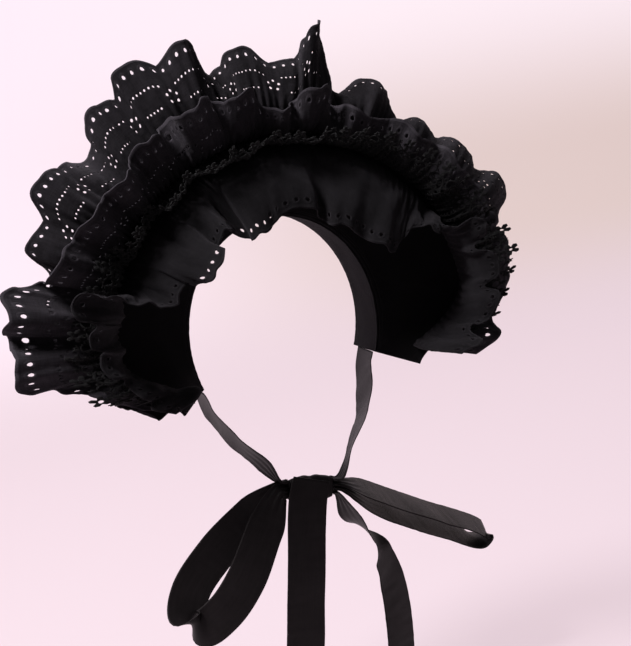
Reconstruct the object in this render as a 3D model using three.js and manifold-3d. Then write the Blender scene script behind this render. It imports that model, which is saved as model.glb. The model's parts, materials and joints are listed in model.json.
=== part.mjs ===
// A black cotton half bonnet: a fabric band over the head from ear to ear, a brim that stands up and forward
// from it, three gathered ruffles and a lace frill sewn round the brim, and satin ties knotted in a bow.
// Millimetres, +Z up. The wearer looks along -Y, and the origin is where the band rests on top of the head.
import * as THREE from "three";
import { mergeVertices } from "three/addons/utils/BufferGeometryUtils.js";
import Module from "manifold-3d";

const wasm = await Module();
wasm.setup();

// The band, an arch that is part of an ellipse seen from the front.
const HEAD_HALF_WIDTH = 96;
const HEAD_RISE = 110;
const BAND_REACH = 114; // degrees round the arch, from the top to each end
const BAND_DEPTH = 56;
const BAND_WALL = 3;

// The brim, from the band's front edge to a nearly round rim.
const RIM_RADIUS = 196;
const RIM_FORWARD = 62;
const RIM_END_RADIUS = 132;
const RIM_TAPER_FROM = 82; // degrees from the top, where the rim starts to draw in
const BRIM_WALL = 2.4;

// The ruffles: how far each reaches from its seam, and how far down the brim from the rim that seam lies.
const CLOTH_WALL = 1.3;
const BACK_REACH = 96;
const BACK_LEAVE = 40; // how far each ruffle holds the direction in which it leaves its seam
const MIDDLE_REACH = 92;
const MIDDLE_LEAVE = 24;
const MIDDLE_SET = 5;
const LACE_REACH = 60;
const LACE_LEAVE = 36;
const LACE_SET = 11;
const FRONT_REACH = 104;
const FRONT_LEAVE = 46;
const FRONT_SET = 18;
const SEAM_GAP = 0.6;

// The scalloped hems and their eyelets.
const SCALLOP_PITCH = 58;
const SCALLOP_DEPTH = 8;
const SHALLOW_DEPTH = 4; // the middle and front ruffles, whose hems are nearly straight
const LACE_PITCH = 24;
const LACE_DEPTH = 8;
const EYELET_RADIUS = 2.4;
const EYELET_FROM_HEM = 7.5;
const EYELET_SIDES = 6;
const PIERCED_WIDTH = 34; // a ruffle narrower than this, as at its ends, has no eyelets

// The satin ribbon, and the knot under the chin that its ends come from.
const RIBBON_WIDTH = 38;
const RIBBON_WALL = 1;
const CHIN_DROP = 262; // from the top of the head down to the knot
const KNOT_FORWARD = 55;
const KNOT_ASIDE = 8;
const KNOT_TILT = 9; // degrees, the wearer's left end down
const KNOT_WIDTH = 44;
const KNOT_HEIGHT = 27;
const KNOT_THICKNESS = 17;
const LOOP_LENGTH = 172;
const LONG_LOOP_LENGTH = 222;
const TAIL_LENGTH = 214;
const SIDE_TAIL_LENGTH = 236;

const DEGREE = Math.PI / 180;
const { clamp, lerp, smoothstep } = THREE.MathUtils;

function outward(at) {
  return new THREE.Vector3(Math.sin(at * DEGREE), 0, Math.cos(at * DEGREE));
}

// A point at an angle round the arch, a distance out from the middle of the head and a distance forward.
function archPoint(at, out, forward) {
  return outward(at)
    .multiplyScalar(out)
    .add(new THREE.Vector3(0, -forward, -HEAD_RISE));
}

function bandRadius(at) {
  return 1 / Math.hypot(Math.sin(at * DEGREE) / HEAD_HALF_WIDTH, Math.cos(at * DEGREE) / HEAD_RISE);
}

function rimRadius(at) {
  return lerp(RIM_RADIUS, RIM_END_RADIUS, smoothstep(Math.abs(at), RIM_TAPER_FROM, BAND_REACH));
}

// The brim's foot, rim and slope at an angle round the arch, as distances out and forward.
function brimSection(at) {
  const foot = { out: bandRadius(at) + BAND_WALL / 2, forward: (BAND_DEPTH + BRIM_WALL) / 2 + SEAM_GAP };
  const rim = { out: rimRadius(at), forward: RIM_FORWARD };
  const length = Math.hypot(rim.out - foot.out, rim.forward - foot.forward);
  const slope = { out: (rim.out - foot.out) / length, forward: (rim.forward - foot.forward) / length };
  return { foot, rim, slope };
}

// Where a ruffle's seam lies and which way the cloth leaves it: on from the rim where set is 0, or off the
// brim's front face, set mm down from the rim.
function seamAt(at, set) {
  const { rim, slope } = brimSection(at);
  const way = set > 0 ? { out: -slope.forward, forward: slope.out } : slope;
  const draw = (rimRadius(at + 1) - rimRadius(at - 1)) / (2 * DEGREE * rim.out);
  const slant = Math.hypot(1, draw * (set > 0 ? slope.forward : slope.out));
  const lift = (set > 0 ? BRIM_WALL / 2 + SEAM_GAP : SEAM_GAP) * slant;
  return {
    out: rim.out - set * slope.out + lift * way.out,
    forward: rim.forward - set * slope.forward + lift * way.forward,
    way,
  };
}

// Each row is one fold of a hem. at is its crest's angle round the arch and wide is half the crest's width, in
// degrees. lean is how far the crest leans forward from straight out, in degrees, and reach is its distance
// from the seam as a share of the ruffle's. dip is how many degrees the cloth falls back before the next crest.
const BACK_FOLDS = [
  { at: -106, wide: 2.5, lean: -4, reach: 0.12, dip: 6 },
  { at: -97, wide: 3, lean: -4, reach: 0.18, dip: 8 },
  { at: -88, wide: 3, lean: 0, reach: 0.5, dip: 14 },
  { at: -78, wide: 2.5, lean: -6, reach: 0.5, dip: 12 },
  { at: -69, wide: 1.5, lean: -2, reach: 0.44, dip: 6 },
  { at: -60.5, wide: 2.6, lean: 0, reach: 0.74, dip: 4 },
  { at: -50, wide: 3, lean: 0, reach: 0.9, dip: 24 },
  { at: -33.5, wide: 2, lean: 0, reach: 0.92, dip: 5 },
  { at: -25.5, wide: 2.5, lean: 0, reach: 1.04, dip: 6 },
  { at: -14.2, wide: 1.4, lean: 6, reach: 1, dip: 26 },
  { at: -4.5, wide: 2.6, lean: -2, reach: 0.78, dip: 6 },
  { at: 6.9, wide: 0.8, lean: 0, reach: 0.62, dip: 2 },
  { at: 11.2, wide: 1.4, lean: 10, reach: 0.98, dip: 44 },
  { at: 27.5, wide: 3.4, lean: -10, reach: 0.58, dip: 20 },
  { at: 42, wide: 2.4, lean: -20, reach: 0.5, dip: 10 },
  { at: 54, wide: 3, lean: -18, reach: 0.64, dip: 10 },
  { at: 67, wide: 3.4, lean: -18, reach: 0.8, dip: 18 },
  { at: 79, wide: 3, lean: -10, reach: 0.46, dip: 12 },
  { at: 90, wide: 3, lean: -8, reach: 0.4, dip: 12 },
  { at: 104, wide: 3, lean: -6, reach: 0.5, dip: 10 },
];

const MIDDLE_FOLDS = [
  { at: -106, wide: 2, lean: 36, reach: 0.24, dip: 8 },
  { at: -96, wide: 2.5, lean: 30, reach: 0.44, dip: 10 },
  { at: -86, wide: 3.2, lean: 22, reach: 1, dip: 12 },
  { at: -74, wide: 3, lean: 22, reach: 1.08, dip: 14 },
  { at: -63, wide: 3, lean: 40, reach: 0.8, dip: 10 },
  { at: -52, wide: 3, lean: 50, reach: 0.8, dip: 10 },
  { at: -42, wide: 2.5, lean: 56, reach: 0.8, dip: 14 },
  { at: -32.5, wide: 2, lean: 44, reach: 0.7, dip: 26 },
  { at: -20, wide: 2.6, lean: 46, reach: 0.76, dip: 14 },
  { at: -9, wide: 3, lean: 48, reach: 0.66, dip: 18 },
  { at: 1, wide: 1.4, lean: 64, reach: 0.44, dip: 20 },
  { at: 10.5, wide: 2.6, lean: 46, reach: 0.58, dip: 30 },
  { at: 24, wide: 3, lean: 56, reach: 0.44, dip: 14 },
  { at: 38, wide: 3, lean: 44, reach: 0.46, dip: 12 },
  { at: 52, wide: 3, lean: 38, reach: 0.48, dip: 12 },
  { at: 66, wide: 3, lean: 32, reach: 0.48, dip: 12 },
  { at: 79, wide: 2.5, lean: 30, reach: 0.42, dip: 10 },
  { at: 91, wide: 2.5, lean: 30, reach: 0.4, dip: 10 },
  { at: 103.5, wide: 3, lean: 36, reach: 0.62, dip: 8 },
];

const LACE_FOLDS = [
  { at: -106, wide: 3, lean: 54, reach: 0.46, dip: 6 },
  { at: -92, wide: 3, lean: 34, reach: 0.98, dip: 8 },
  { at: -78, wide: 3, lean: 42, reach: 0.94, dip: 8 },
  { at: -64, wide: 3, lean: 56, reach: 0.94, dip: 8 },
  { at: -50, wide: 3, lean: 72, reach: 0.9, dip: 6 },
  { at: -36, wide: 3, lean: 82, reach: 0.9, dip: 6 },
  { at: -22, wide: 3, lean: 84, reach: 0.86, dip: 6 },
  { at: -8, wide: 3, lean: 84, reach: 0.86, dip: 6 },
  { at: 6, wide: 3, lean: 86, reach: 0.86, dip: 6 },
  { at: 20, wide: 3, lean: 80, reach: 0.86, dip: 6 },
  { at: 34, wide: 3, lean: 70, reach: 0.88, dip: 6 },
  { at: 48, wide: 3, lean: 60, reach: 0.9, dip: 8 },
  { at: 62, wide: 3, lean: 50, reach: 0.96, dip: 8 },
  { at: 76, wide: 3, lean: 44, reach: 1, dip: 8 },
  { at: 90, wide: 3, lean: 48, reach: 0.8, dip: 8 },
  { at: 104, wide: 3, lean: 58, reach: 0.7, dip: 8 },
];

const FRONT_FOLDS = [
  { at: -104, wide: 3, lean: 60, reach: 0.5, dip: -6 },
  { at: -95, wide: 3, lean: 66, reach: 0.46, dip: -8 },
  { at: -86, wide: 3, lean: 64, reach: 0.5, dip: -8 },
  { at: -78, wide: 2.4, lean: 62, reach: 0.7, dip: -8 },
  { at: -71, wide: 2.4, lean: 56, reach: 0.94, dip: -16 },
  { at: -61.5, wide: 3.5, lean: 122, reach: 0.7, dip: -8 },
  { at: -48, wide: 5, lean: 120, reach: 0.97, dip: -10 },
  { at: -33, wide: 2, lean: 122, reach: 0.74, dip: -26 },
  { at: -21, wide: 4, lean: 138, reach: 0.86, dip: -6 },
  { at: 2, wide: 5, lean: 138, reach: 0.77, dip: -5 },
  { at: 21, wide: 5, lean: 141, reach: 0.92, dip: -5 },
  { at: 44, wide: 6, lean: 139, reach: 0.95, dip: -10 },
  { at: 57, wide: 2.4, lean: 112, reach: 0.54, dip: -22 },
  { at: 66, wide: 2.6, lean: 72, reach: 0.62, dip: -14 },
  { at: 78, wide: 3.6, lean: 76, reach: 0.62, dip: -14 },
  { at: 90, wide: 3.6, lean: 76, reach: 0.62, dip: -12 },
  { at: 103, wide: 3, lean: 76, reach: 0.8, dip: -10 },
];

const CREST_FALL = 0.25; // how much of the dip a crest has taken by its edges
const DIP_DRAW = 90; // a dip this many degrees deep would be drawn in to the seam
const POINTS_PER_FOLD = 4;

// The curve of a hem through all its folds: three points to a crest and one to each dip.
function hemCurve(folds, set, reach) {
  const points = [];
  const add = (at, lean, share) => {
    const seam = seamAt(at, set);
    const out = seam.out + Math.cos(lean * DEGREE) * share * reach;
    points.push(archPoint(at, out, seam.forward + Math.sin(lean * DEGREE) * share * reach));
  };
  folds.forEach((fold, i) => {
    const before = folds[Math.max(i - 1, 0)];
    const next = folds[i + 1];
    add(fold.at - fold.wide, fold.lean - CREST_FALL * before.dip, fold.reach);
    add(fold.at, fold.lean, fold.reach);
    add(fold.at + fold.wide, fold.lean - CREST_FALL * fold.dip, fold.reach);
    if (next) {
      const middle = (fold.at + fold.wide + next.at - next.wide) / 2;
      const drawn = 1 - Math.abs(fold.dip) / DIP_DRAW;
      add(middle, (fold.lean + next.lean) / 2 - fold.dip, (drawn * (fold.reach + next.reach)) / 2);
    }
  });
  const curve = new THREE.CatmullRomCurve3(points, false, "centripetal");
  curve.arcLengthDivisions = 100 * folds.length;
  return curve;
}

// Where along a seam the cloth under each part of the hem is gathered in, so that every fold hangs straight.
function gathering(folds, hem) {
  const lengths = hem.getLengths();
  const whole = lengths[lengths.length - 1];
  const last = POINTS_PER_FOLD * folds.length - 2;
  const marks = folds.map(({ at }, i) => {
    const t = (POINTS_PER_FOLD * i + 1) / last;
    return { at, u: lengths[Math.round(t * (lengths.length - 1))] / whole };
  });
  const lastFold = folds[folds.length - 1];
  marks.unshift({ at: folds[0].at - folds[0].wide, u: 0 });
  marks.push({ at: lastFold.at + lastFold.wide, u: 1 });
  return (u) => {
    const i = clamp(marks.findIndex((mark) => mark.u > u) - 1, 0, marks.length - 2);
    const from = u >= 1 ? marks[marks.length - 2] : marks[i];
    const to = u >= 1 ? marks[marks.length - 1] : marks[i + 1];
    return lerp(from.at, to.at, (u - from.u) / (to.u - from.u));
  };
}

// A strip of cloth: a flat box of columns and rows, with each corner moved to where place(u, v) puts it.
function sheet(columns, rows, wall, place) {
  const strip = new THREE.BoxGeometry(1, 1, 1, columns, rows, 1);
  matchDiagonals(strip);
  const cloth = bare(strip, 1e-5);
  const corners = cloth.getAttribute("position");
  for (let i = 0; i < corners.count; i += 1) {
    const u = corners.getX(i) + 0.5;
    const v = corners.getY(i) + 0.5;
    const point = place(u, v).addScaledVector(facing(place, u, v), corners.getZ(i) * wall);
    corners.setXYZ(i, point.x, point.y, point.z);
  }
  return cloth;
}

// Splits a flat box's back cells along the same diagonals as its front cells, so that a twisted wall stays even.
function matchDiagonals(strip) {
  const index = strip.getIndex();
  const back = strip.groups[5];
  for (let i = back.start; i < back.start + back.count; i += 6) {
    const [a, b, d] = [0, 1, 2].map((j) => index.getX(i + j));
    const c = index.getX(i + 4);
    [a, b, c, a, c, d].forEach((corner, j) => index.setX(i + j, corner));
  }
}

// A geometry with nothing but its merged corners and its triangles.
function bare(geometry, tolerance) {
  geometry.deleteAttribute("normal");
  geometry.deleteAttribute("uv");
  return mergeVertices(geometry, tolerance);
}

// The unit normal of a strip, from the points just round (u, v).
function facing(place, u, v) {
  const step = 1e-3;
  const along = place(Math.min(u + step, 1), v).sub(place(Math.max(u - step, 0), v));
  const across = place(u, Math.min(v + step, 1)).sub(place(u, Math.max(v - step, 0)));
  return along.cross(across).normalize();
}

// A gathered ruffle: smooth at its seam and folded at its hem, with a scalloped edge.
function rufflePlace({ folds, set, reach, leave, depth }, hem, scallops) {
  const seamAngle = gathering(folds, hem);
  return (u, v) => {
    const at = seamAngle(u);
    const seam = seamAt(at, set);
    const start = archPoint(at, seam.out, seam.forward);
    const bend = archPoint(at, seam.out + leave * seam.way.out, seam.forward + leave * seam.way.forward);
    const notch = (depth / reach) * (1 - Math.abs(Math.sin(Math.PI * scallops * u)));
    const far = v - notch * v ** 3;
    const near = 1 - far;
    return start
      .multiplyScalar(near * near)
      .addScaledVector(bend, 2 * far * near)
      .addScaledVector(hem.getPointAt(u), far * far);
  };
}

function solidOf(geometry) {
  return new wasm.Manifold(
    new wasm.Mesh({
      numProp: 3,
      vertProperties: new Float32Array(geometry.getAttribute("position").array),
      triVerts: new Uint32Array(geometry.index.array),
    }),
  );
}

function geometryOf(solid) {
  const mesh = solid.getMesh();
  const geometry = new THREE.BufferGeometry();
  geometry.setAttribute("position", new THREE.BufferAttribute(mesh.vertProperties, 3));
  geometry.setIndex(new THREE.BufferAttribute(mesh.triVerts, 1));
  return geometry;
}

// The flat cells that a strip's columns and rows make of it, as a place of their own.
function cellsOf(place, columns, rows) {
  return (u, v) => {
    const column = Math.min(Math.floor(u * columns), columns - 1);
    const row = Math.min(Math.floor(v * rows), rows - 1);
    const corner = (i, j) => place((column + i) / columns, (row + j) / rows);
    const low = corner(0, 0).lerp(corner(1, 0), u * columns - column);
    const high = corner(0, 1).lerp(corner(1, 1), u * columns - column);
    return low.lerp(high, v * rows - row);
  };
}

// Cuts a round eyelet square through a strip's cells at each [u, v].
function pierce(cloth, cells, eyelets) {
  const punches = eyelets.map(([u, v]) => {
    const punch = new THREE.CylinderGeometry(EYELET_RADIUS, EYELET_RADIUS, 5 * CLOTH_WALL, EYELET_SIDES);
    const way = facing(cells, u, v);
    punch.applyQuaternion(new THREE.Quaternion().setFromUnitVectors(new THREE.Vector3(0, 1, 0), way));
    const middle = cells(u, v);
    punch.translate(middle.x, middle.y, middle.z);
    return solidOf(bare(punch, 1e-4));
  });
  return geometryOf(solidOf(cloth).subtract(wasm.Manifold.union(punches)));
}

const COTTON = { color: 0x121014, roughness: 0.92, metalness: 0 };
const SATIN = { color: 0x0d0b0d, roughness: 0.42, metalness: 0 };
const LACE = { color: 0x100e11, roughness: 0.85, metalness: 0 };

const bonnet = new THREE.Group();

function addPiece(name, geometry, finish) {
  const piece = new THREE.Mesh(geometry, new THREE.MeshStandardMaterial(finish));
  piece.name = name;
  bonnet.add(piece);
}

function addBand() {
  const place = (u, v) => {
    const at = lerp(-BAND_REACH, BAND_REACH, u);
    return archPoint(at, bandRadius(at) + BAND_WALL / 2, BAND_DEPTH * (v - 0.5));
  };
  addPiece("band", sheet(28, 1, BAND_WALL, place), COTTON);
}

function addBrim() {
  const place = (u, v) => {
    const at = lerp(-BAND_REACH, BAND_REACH, u);
    const { foot, rim } = brimSection(at);
    return archPoint(at, lerp(foot.out, rim.out, v), lerp(foot.forward, rim.forward, v));
  };
  addPiece("brim", sheet(42, 3, BRIM_WALL, place), COTTON);
}

function addRuffle(name, ruffle, finish) {
  const { folds, set, reach, pitch, rows, cells, pierced } = ruffle;
  const hem = hemCurve(folds, set, reach);
  const scallops = Math.round(hem.getLength() / pitch);
  const place = rufflePlace(ruffle, hem, scallops);
  const columns = scallops * cells;
  const cloth = sheet(columns, rows, CLOTH_WALL, place);
  const eyelets = [];
  for (let scallop = 0; scallop < scallops; scallop += 1) {
    pierced.forEach((cell) => {
      const u = (scallop + (cell + 0.5) / cells) / scallops;
      const width = place(u, 0).distanceTo(place(u, 1));
      if (width > PIERCED_WIDTH) eyelets.push([u, 1 - EYELET_FROM_HEM / width]);
    });
  }
  const open = eyelets.length ? pierce(cloth, cellsOf(place, columns, rows), eyelets) : cloth;
  addPiece(name, open, finish);
}

// A ribbon laid along points, its width across widthWay and turned and narrowed by the rows' columns.
function ribbonPlace(points, widthWay, rows) {
  const line = new THREE.CatmullRomCurve3(points, false, "centripetal");
  const shapeAt = (t, column) => {
    const span = t * (rows.length - 1);
    const i = Math.min(Math.floor(span), rows.length - 2);
    return lerp(rows[i][column], rows[i + 1][column], smoothstep(span - i, 0, 1));
  };
  return (u, v) => {
    const t = line.getUtoTmapping(u);
    const heading = line.getTangent(t);
    const side = widthWay.clone().addScaledVector(heading, -heading.dot(widthWay)).normalize();
    side.applyAxisAngle(heading, shapeAt(t, "turn") * DEGREE);
    return line.getPoint(t).addScaledVector(side, (v - 0.5) * RIBBON_WIDTH * shapeAt(t, "wide"));
  };
}

function addRibbon(name, columns, place) {
  addPiece(name, sheet(columns, 1, RIBBON_WALL, place), SATIN);
}

const KNOT = new THREE.Vector3(-KNOT_ASIDE, -KNOT_FORWARD, -CHIN_DROP);
const STRAIGHT_AT_KNOT = 8;
const BACKWARD = new THREE.Vector3(0, 1, 0);
const ACROSS_FRONT = new THREE.Vector3(1, 0, 0);
const ACROSS_RIGHT_LOOP = new THREE.Vector3(0.51, -0.33, -0.78);
const ACROSS_LEFT_LOOP = new THREE.Vector3(0.377, 0.913, 0.127);
const KNOT_ACROSS = new THREE.Vector3(Math.cos(KNOT_TILT * DEGREE), 0, -Math.sin(KNOT_TILT * DEGREE));

const KNOT_UP = new THREE.Vector3(-KNOT_ACROSS.z, 0, KNOT_ACROSS.x);

// A place at one end of the knot, off its flat face, moved back and up across that face.
function knotEnd(way, back, up) {
  return KNOT.clone()
    .addScaledVector(KNOT_ACROSS, way * (KNOT_WIDTH / 2 + SEAM_GAP))
    .addScaledVector(BACKWARD, back)
    .addScaledVector(KNOT_UP, up);
}

// Each row is one ring round the knot: how far along it lies and how big it is, as shares of the knot's sizes.
const KNOT_RINGS = [
  { along: -0.5, size: 0.7 },
  { along: -0.28, size: 0.96 },
  { along: 0, size: 1 },
  { along: 0.28, size: 0.97 },
  { along: 0.5, size: 0.74 },
];
const KNOT_SIDES = 16;
const PLEATS = 4;
const PLEAT_DEPTH = 0.05;

function addKnot() {
  const spool = new THREE.CylinderGeometry(1, 1, 1, KNOT_SIDES, KNOT_RINGS.length - 1);
  const form = bare(spool, 1e-4);
  const corners = form.getAttribute("position");
  for (let i = 0; i < corners.count; i += 1) {
    const ring = KNOT_RINGS[Math.round((corners.getY(i) + 0.5) * (KNOT_RINGS.length - 1))];
    const round = Math.atan2(corners.getZ(i), corners.getX(i));
    const far = Math.hypot(corners.getX(i), corners.getZ(i)) * (1 + PLEAT_DEPTH * Math.cos(PLEATS * round));
    const back = (far * ring.size * Math.sin(round) * KNOT_THICKNESS) / 2;
    const up = (far * ring.size * Math.cos(round) * KNOT_HEIGHT) / 2;
    const point = KNOT.clone()
      .addScaledVector(KNOT_ACROSS, ring.along * KNOT_WIDTH)
      .addScaledVector(BACKWARD, back)
      .addScaledVector(KNOT_UP, up);
    corners.setXYZ(i, point.x, point.y, point.z);
  }
  addPiece("bow_knot", form, SATIN);
}

// Each tie's rows give how far it has come from the band's end to the knot, and how far it stands out and
// forward of that straight way, as shares of its length. Its first and last stretches are straight.
const TIE_ROWS = [
  { along: 0, out: 0, forward: 0, turn: 0, wide: 1 },
  { along: 0.08, out: 0, forward: 0, turn: 0, wide: 1 },
  { along: 0.3, out: 0.08, forward: -0.03, turn: 4, wide: 1 },
  { along: 0.55, out: 0.1, forward: 0.02, turn: 14, wide: 1 },
  { along: 0.78, out: 0.06, forward: 0.04, turn: 20, wide: 0.8 },
  { along: 0.95, out: 0.02, forward: 0, turn: 6, wide: 0.45 },
  { along: 1, out: 0, forward: 0, turn: 0, wide: 0.34 },
];

function addTies() {
  for (const [name, way] of [["tie_right", -1], ["tie_left", 1]]) {
    const edge = (at) => archPoint(at, bandRadius(at) + BAND_WALL / 2, 0);
    const start = edge(way * BAND_REACH);
    const down = start.clone().sub(edge(way * (BAND_REACH - 1))).normalize();
    start.addScaledVector(down, SEAM_GAP);
    const end = knotEnd(way, 0, 8);
    const span = end.clone().sub(start);
    const length = span.length();
    const points = TIE_ROWS.map(({ along, out, forward }) =>
      start
        .clone()
        .addScaledVector(span, along)
        .add(new THREE.Vector3(way * out, -forward, 0).multiplyScalar(length)),
    );
    points[1] = start.clone().addScaledVector(down, TIE_ROWS[1].along * length);
    points[points.length - 2] = end.clone().addScaledVector(KNOT_ACROSS, way * STRAIGHT_AT_KNOT);
    const rows = TIE_ROWS.map(({ turn, wide }) => ({ turn: way * turn, wide }));
    addRibbon(name, 14, ribbonPlace(points, BACKWARD, rows));
  }
}

// The ribbons that leave the knot. Each row is a place as shares of the ribbon's named length from where it
// starts, with how far its width has turned, in degrees, and its width as a share of the ribbon's.
const RIGHT_LOOP_ROWS = [
  { x: 0, y: 0, z: 0, turn: 0, wide: 0.34 },
  { x: -0.05, y: 0, z: 0.008, turn: 0, wide: 0.5 },
  { x: -0.17, y: 0, z: -0.18, turn: 0, wide: 0.95 },
  { x: -0.33, y: -0.02, z: -0.43, turn: 0, wide: 1 },
  { x: -0.47, y: 0.01, z: -0.59, turn: 0, wide: 1 },
  { x: -0.6, y: 0.07, z: -0.67, turn: 0, wide: 1 },
  { x: -0.65, y: 0.13, z: -0.61, turn: 0, wide: 1 },
  { x: -0.6, y: 0.17, z: -0.48, turn: 0, wide: 1 },
  { x: -0.42, y: 0.18, z: -0.3, turn: 0, wide: 1 },
  { x: -0.2, y: 0.12, z: -0.11, turn: 0, wide: 0.9 },
  { x: -0.05, y: 0.026, z: 0.008, turn: 0, wide: 0.5 },
  { x: 0, y: 0.024, z: 0, turn: 0, wide: 0.34 },
];

const LEFT_LOOP_ROWS = [
  { x: 0, y: 0, z: 0, turn: 0, wide: 0.34 },
  { x: 0.04, y: 0, z: -0.006, turn: 0, wide: 0.5 },
  { x: 0.18, y: 0.03, z: -0.08, turn: 0, wide: 1 },
  { x: 0.34, y: 0.07, z: -0.18, turn: 0, wide: 1 },
  { x: 0.55, y: 0.12, z: -0.305, turn: 0, wide: 1 },
  { x: 0.76, y: 0.18, z: -0.43, turn: 0, wide: 1 },
  { x: 0.8, y: 0.19, z: -0.475, turn: 0, wide: 1 },
  { x: 0.75, y: 0.18, z: -0.49, turn: 0, wide: 1 },
  { x: 0.55, y: 0.12, z: -0.38, turn: 0, wide: 1 },
  { x: 0.33, y: 0.06, z: -0.25, turn: 0, wide: 1 },
  { x: 0.17, y: 0.02, z: -0.14, turn: 0, wide: 0.9 },
  { x: 0.04, y: 0, z: -0.024, turn: 0, wide: 0.5 },
  { x: 0, y: 0, z: -0.018, turn: 0, wide: 0.34 },
];

const FRONT_TAIL_ROWS = [
  { x: 0, y: 0, z: 0, turn: 0, wide: 1 },
  { x: -0.03, y: 0, z: -0.08, turn: 0, wide: 1.04 },
  { x: -0.08, y: 0, z: -0.37, turn: 0, wide: 1.02 },
  { x: -0.135, y: 0.03, z: -0.78, turn: 0, wide: 1.04 },
  { x: -0.165, y: 0.05, z: -0.99, turn: 0, wide: 1.04 },
];

const SIDE_TAIL_ROWS = [
  { x: 0, y: 0, z: 0, turn: 0, wide: 0.34 },
  { x: 0.02, y: 0, z: -0.0032, turn: 0, wide: 0.45 },
  { x: 0.065, y: -0.01, z: -0.12, turn: -20, wide: 0.9 },
  { x: 0.137, y: -0.01, z: -0.215, turn: 10, wide: 1 },
  { x: 0.195, y: 0.01, z: -0.333, turn: 50, wide: 1 },
  { x: 0.227, y: 0.03, z: -0.467, turn: 62, wide: 1 },
  { x: 0.236, y: 0.035, z: -0.63, turn: 66, wide: 1 },
  { x: 0.228, y: 0.04, z: -0.795, turn: 68, wide: 1 },
  { x: 0.215, y: 0.05, z: -0.95, turn: 68, wide: 1 },
];

// A ribbon from a place at the knot, along rows of shares of its length.
function addFromKnot(name, start, length, widthWay, rows, columns) {
  const points = rows.map(({ x, y, z }) => new THREE.Vector3(x, y, z).multiplyScalar(length).add(start));
  addRibbon(name, columns, ribbonPlace(points, widthWay, rows));
}

function addBow() {
  const overKnot = KNOT.clone().add(new THREE.Vector3(0, 0, KNOT_HEIGHT / 2 - 2));
  overKnot.y -= (KNOT_THICKNESS * (1 + PLEAT_DEPTH) + RIBBON_WALL) / 2 + SEAM_GAP;
  addKnot();
  addFromKnot("bow_loop_right", knotEnd(-1, -3, -1), LOOP_LENGTH, ACROSS_RIGHT_LOOP, RIGHT_LOOP_ROWS, 26);
  addFromKnot("bow_loop_left", knotEnd(1, 0, 3), LONG_LOOP_LENGTH, ACROSS_LEFT_LOOP, LEFT_LOOP_ROWS, 26);
  addFromKnot("tail_front", overKnot, TAIL_LENGTH, ACROSS_FRONT, FRONT_TAIL_ROWS, 8);
  addFromKnot("tail_side", knotEnd(1, 0, -6), SIDE_TAIL_LENGTH, BACKWARD, SIDE_TAIL_ROWS, 18);
}

addBand();
addBrim();
addRuffle(
  "back_ruffle",
  {
    folds: BACK_FOLDS,
    set: 0,
    reach: BACK_REACH,
    leave: BACK_LEAVE,
    pitch: SCALLOP_PITCH,
    depth: SCALLOP_DEPTH,
    rows: 4,
    cells: 4,
    pierced: [0, 2],
  },
  COTTON,
);
addRuffle(
  "middle_ruffle",
  {
    folds: MIDDLE_FOLDS,
    set: MIDDLE_SET,
    reach: MIDDLE_REACH,
    leave: MIDDLE_LEAVE,
    pitch: SCALLOP_PITCH,
    depth: SHALLOW_DEPTH,
    rows: 3,
    cells: 4,
    pierced: [0, 2],
  },
  COTTON,
);
addRuffle(
  "lace_frill",
  {
    folds: LACE_FOLDS,
    set: LACE_SET,
    reach: LACE_REACH,
    leave: LACE_LEAVE,
    pitch: LACE_PITCH,
    depth: LACE_DEPTH,
    rows: 2,
    cells: 2,
    pierced: [],
  },
  LACE,
);
addRuffle(
  "front_ruffle",
  {
    folds: FRONT_FOLDS,
    set: FRONT_SET,
    reach: FRONT_REACH,
    leave: FRONT_LEAVE,
    pitch: SCALLOP_PITCH,
    depth: SHALLOW_DEPTH,
    rows: 4,
    cells: 4,
    pierced: [],
  },
  COTTON,
);
addTies();
addBow();

export default bonnet;
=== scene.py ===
# %% [markdown]
# # Dressing a black cotton half bonnet
# The real object is sewn from four things: plain cotton for the band and the stiffened brim, eyelet cotton
# for three ruffles, a frill of lace, and satin ribbon. Their solids are packed already. This lesson keeps
# their places, and makes each piece again as the cloth, thread or ribbon that a camera sees.

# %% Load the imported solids
import json
import math
from bisect import bisect_right
from collections import namedtuple

import bmesh
import bpy
from mathutils import Matrix, Vector, noise

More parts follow.
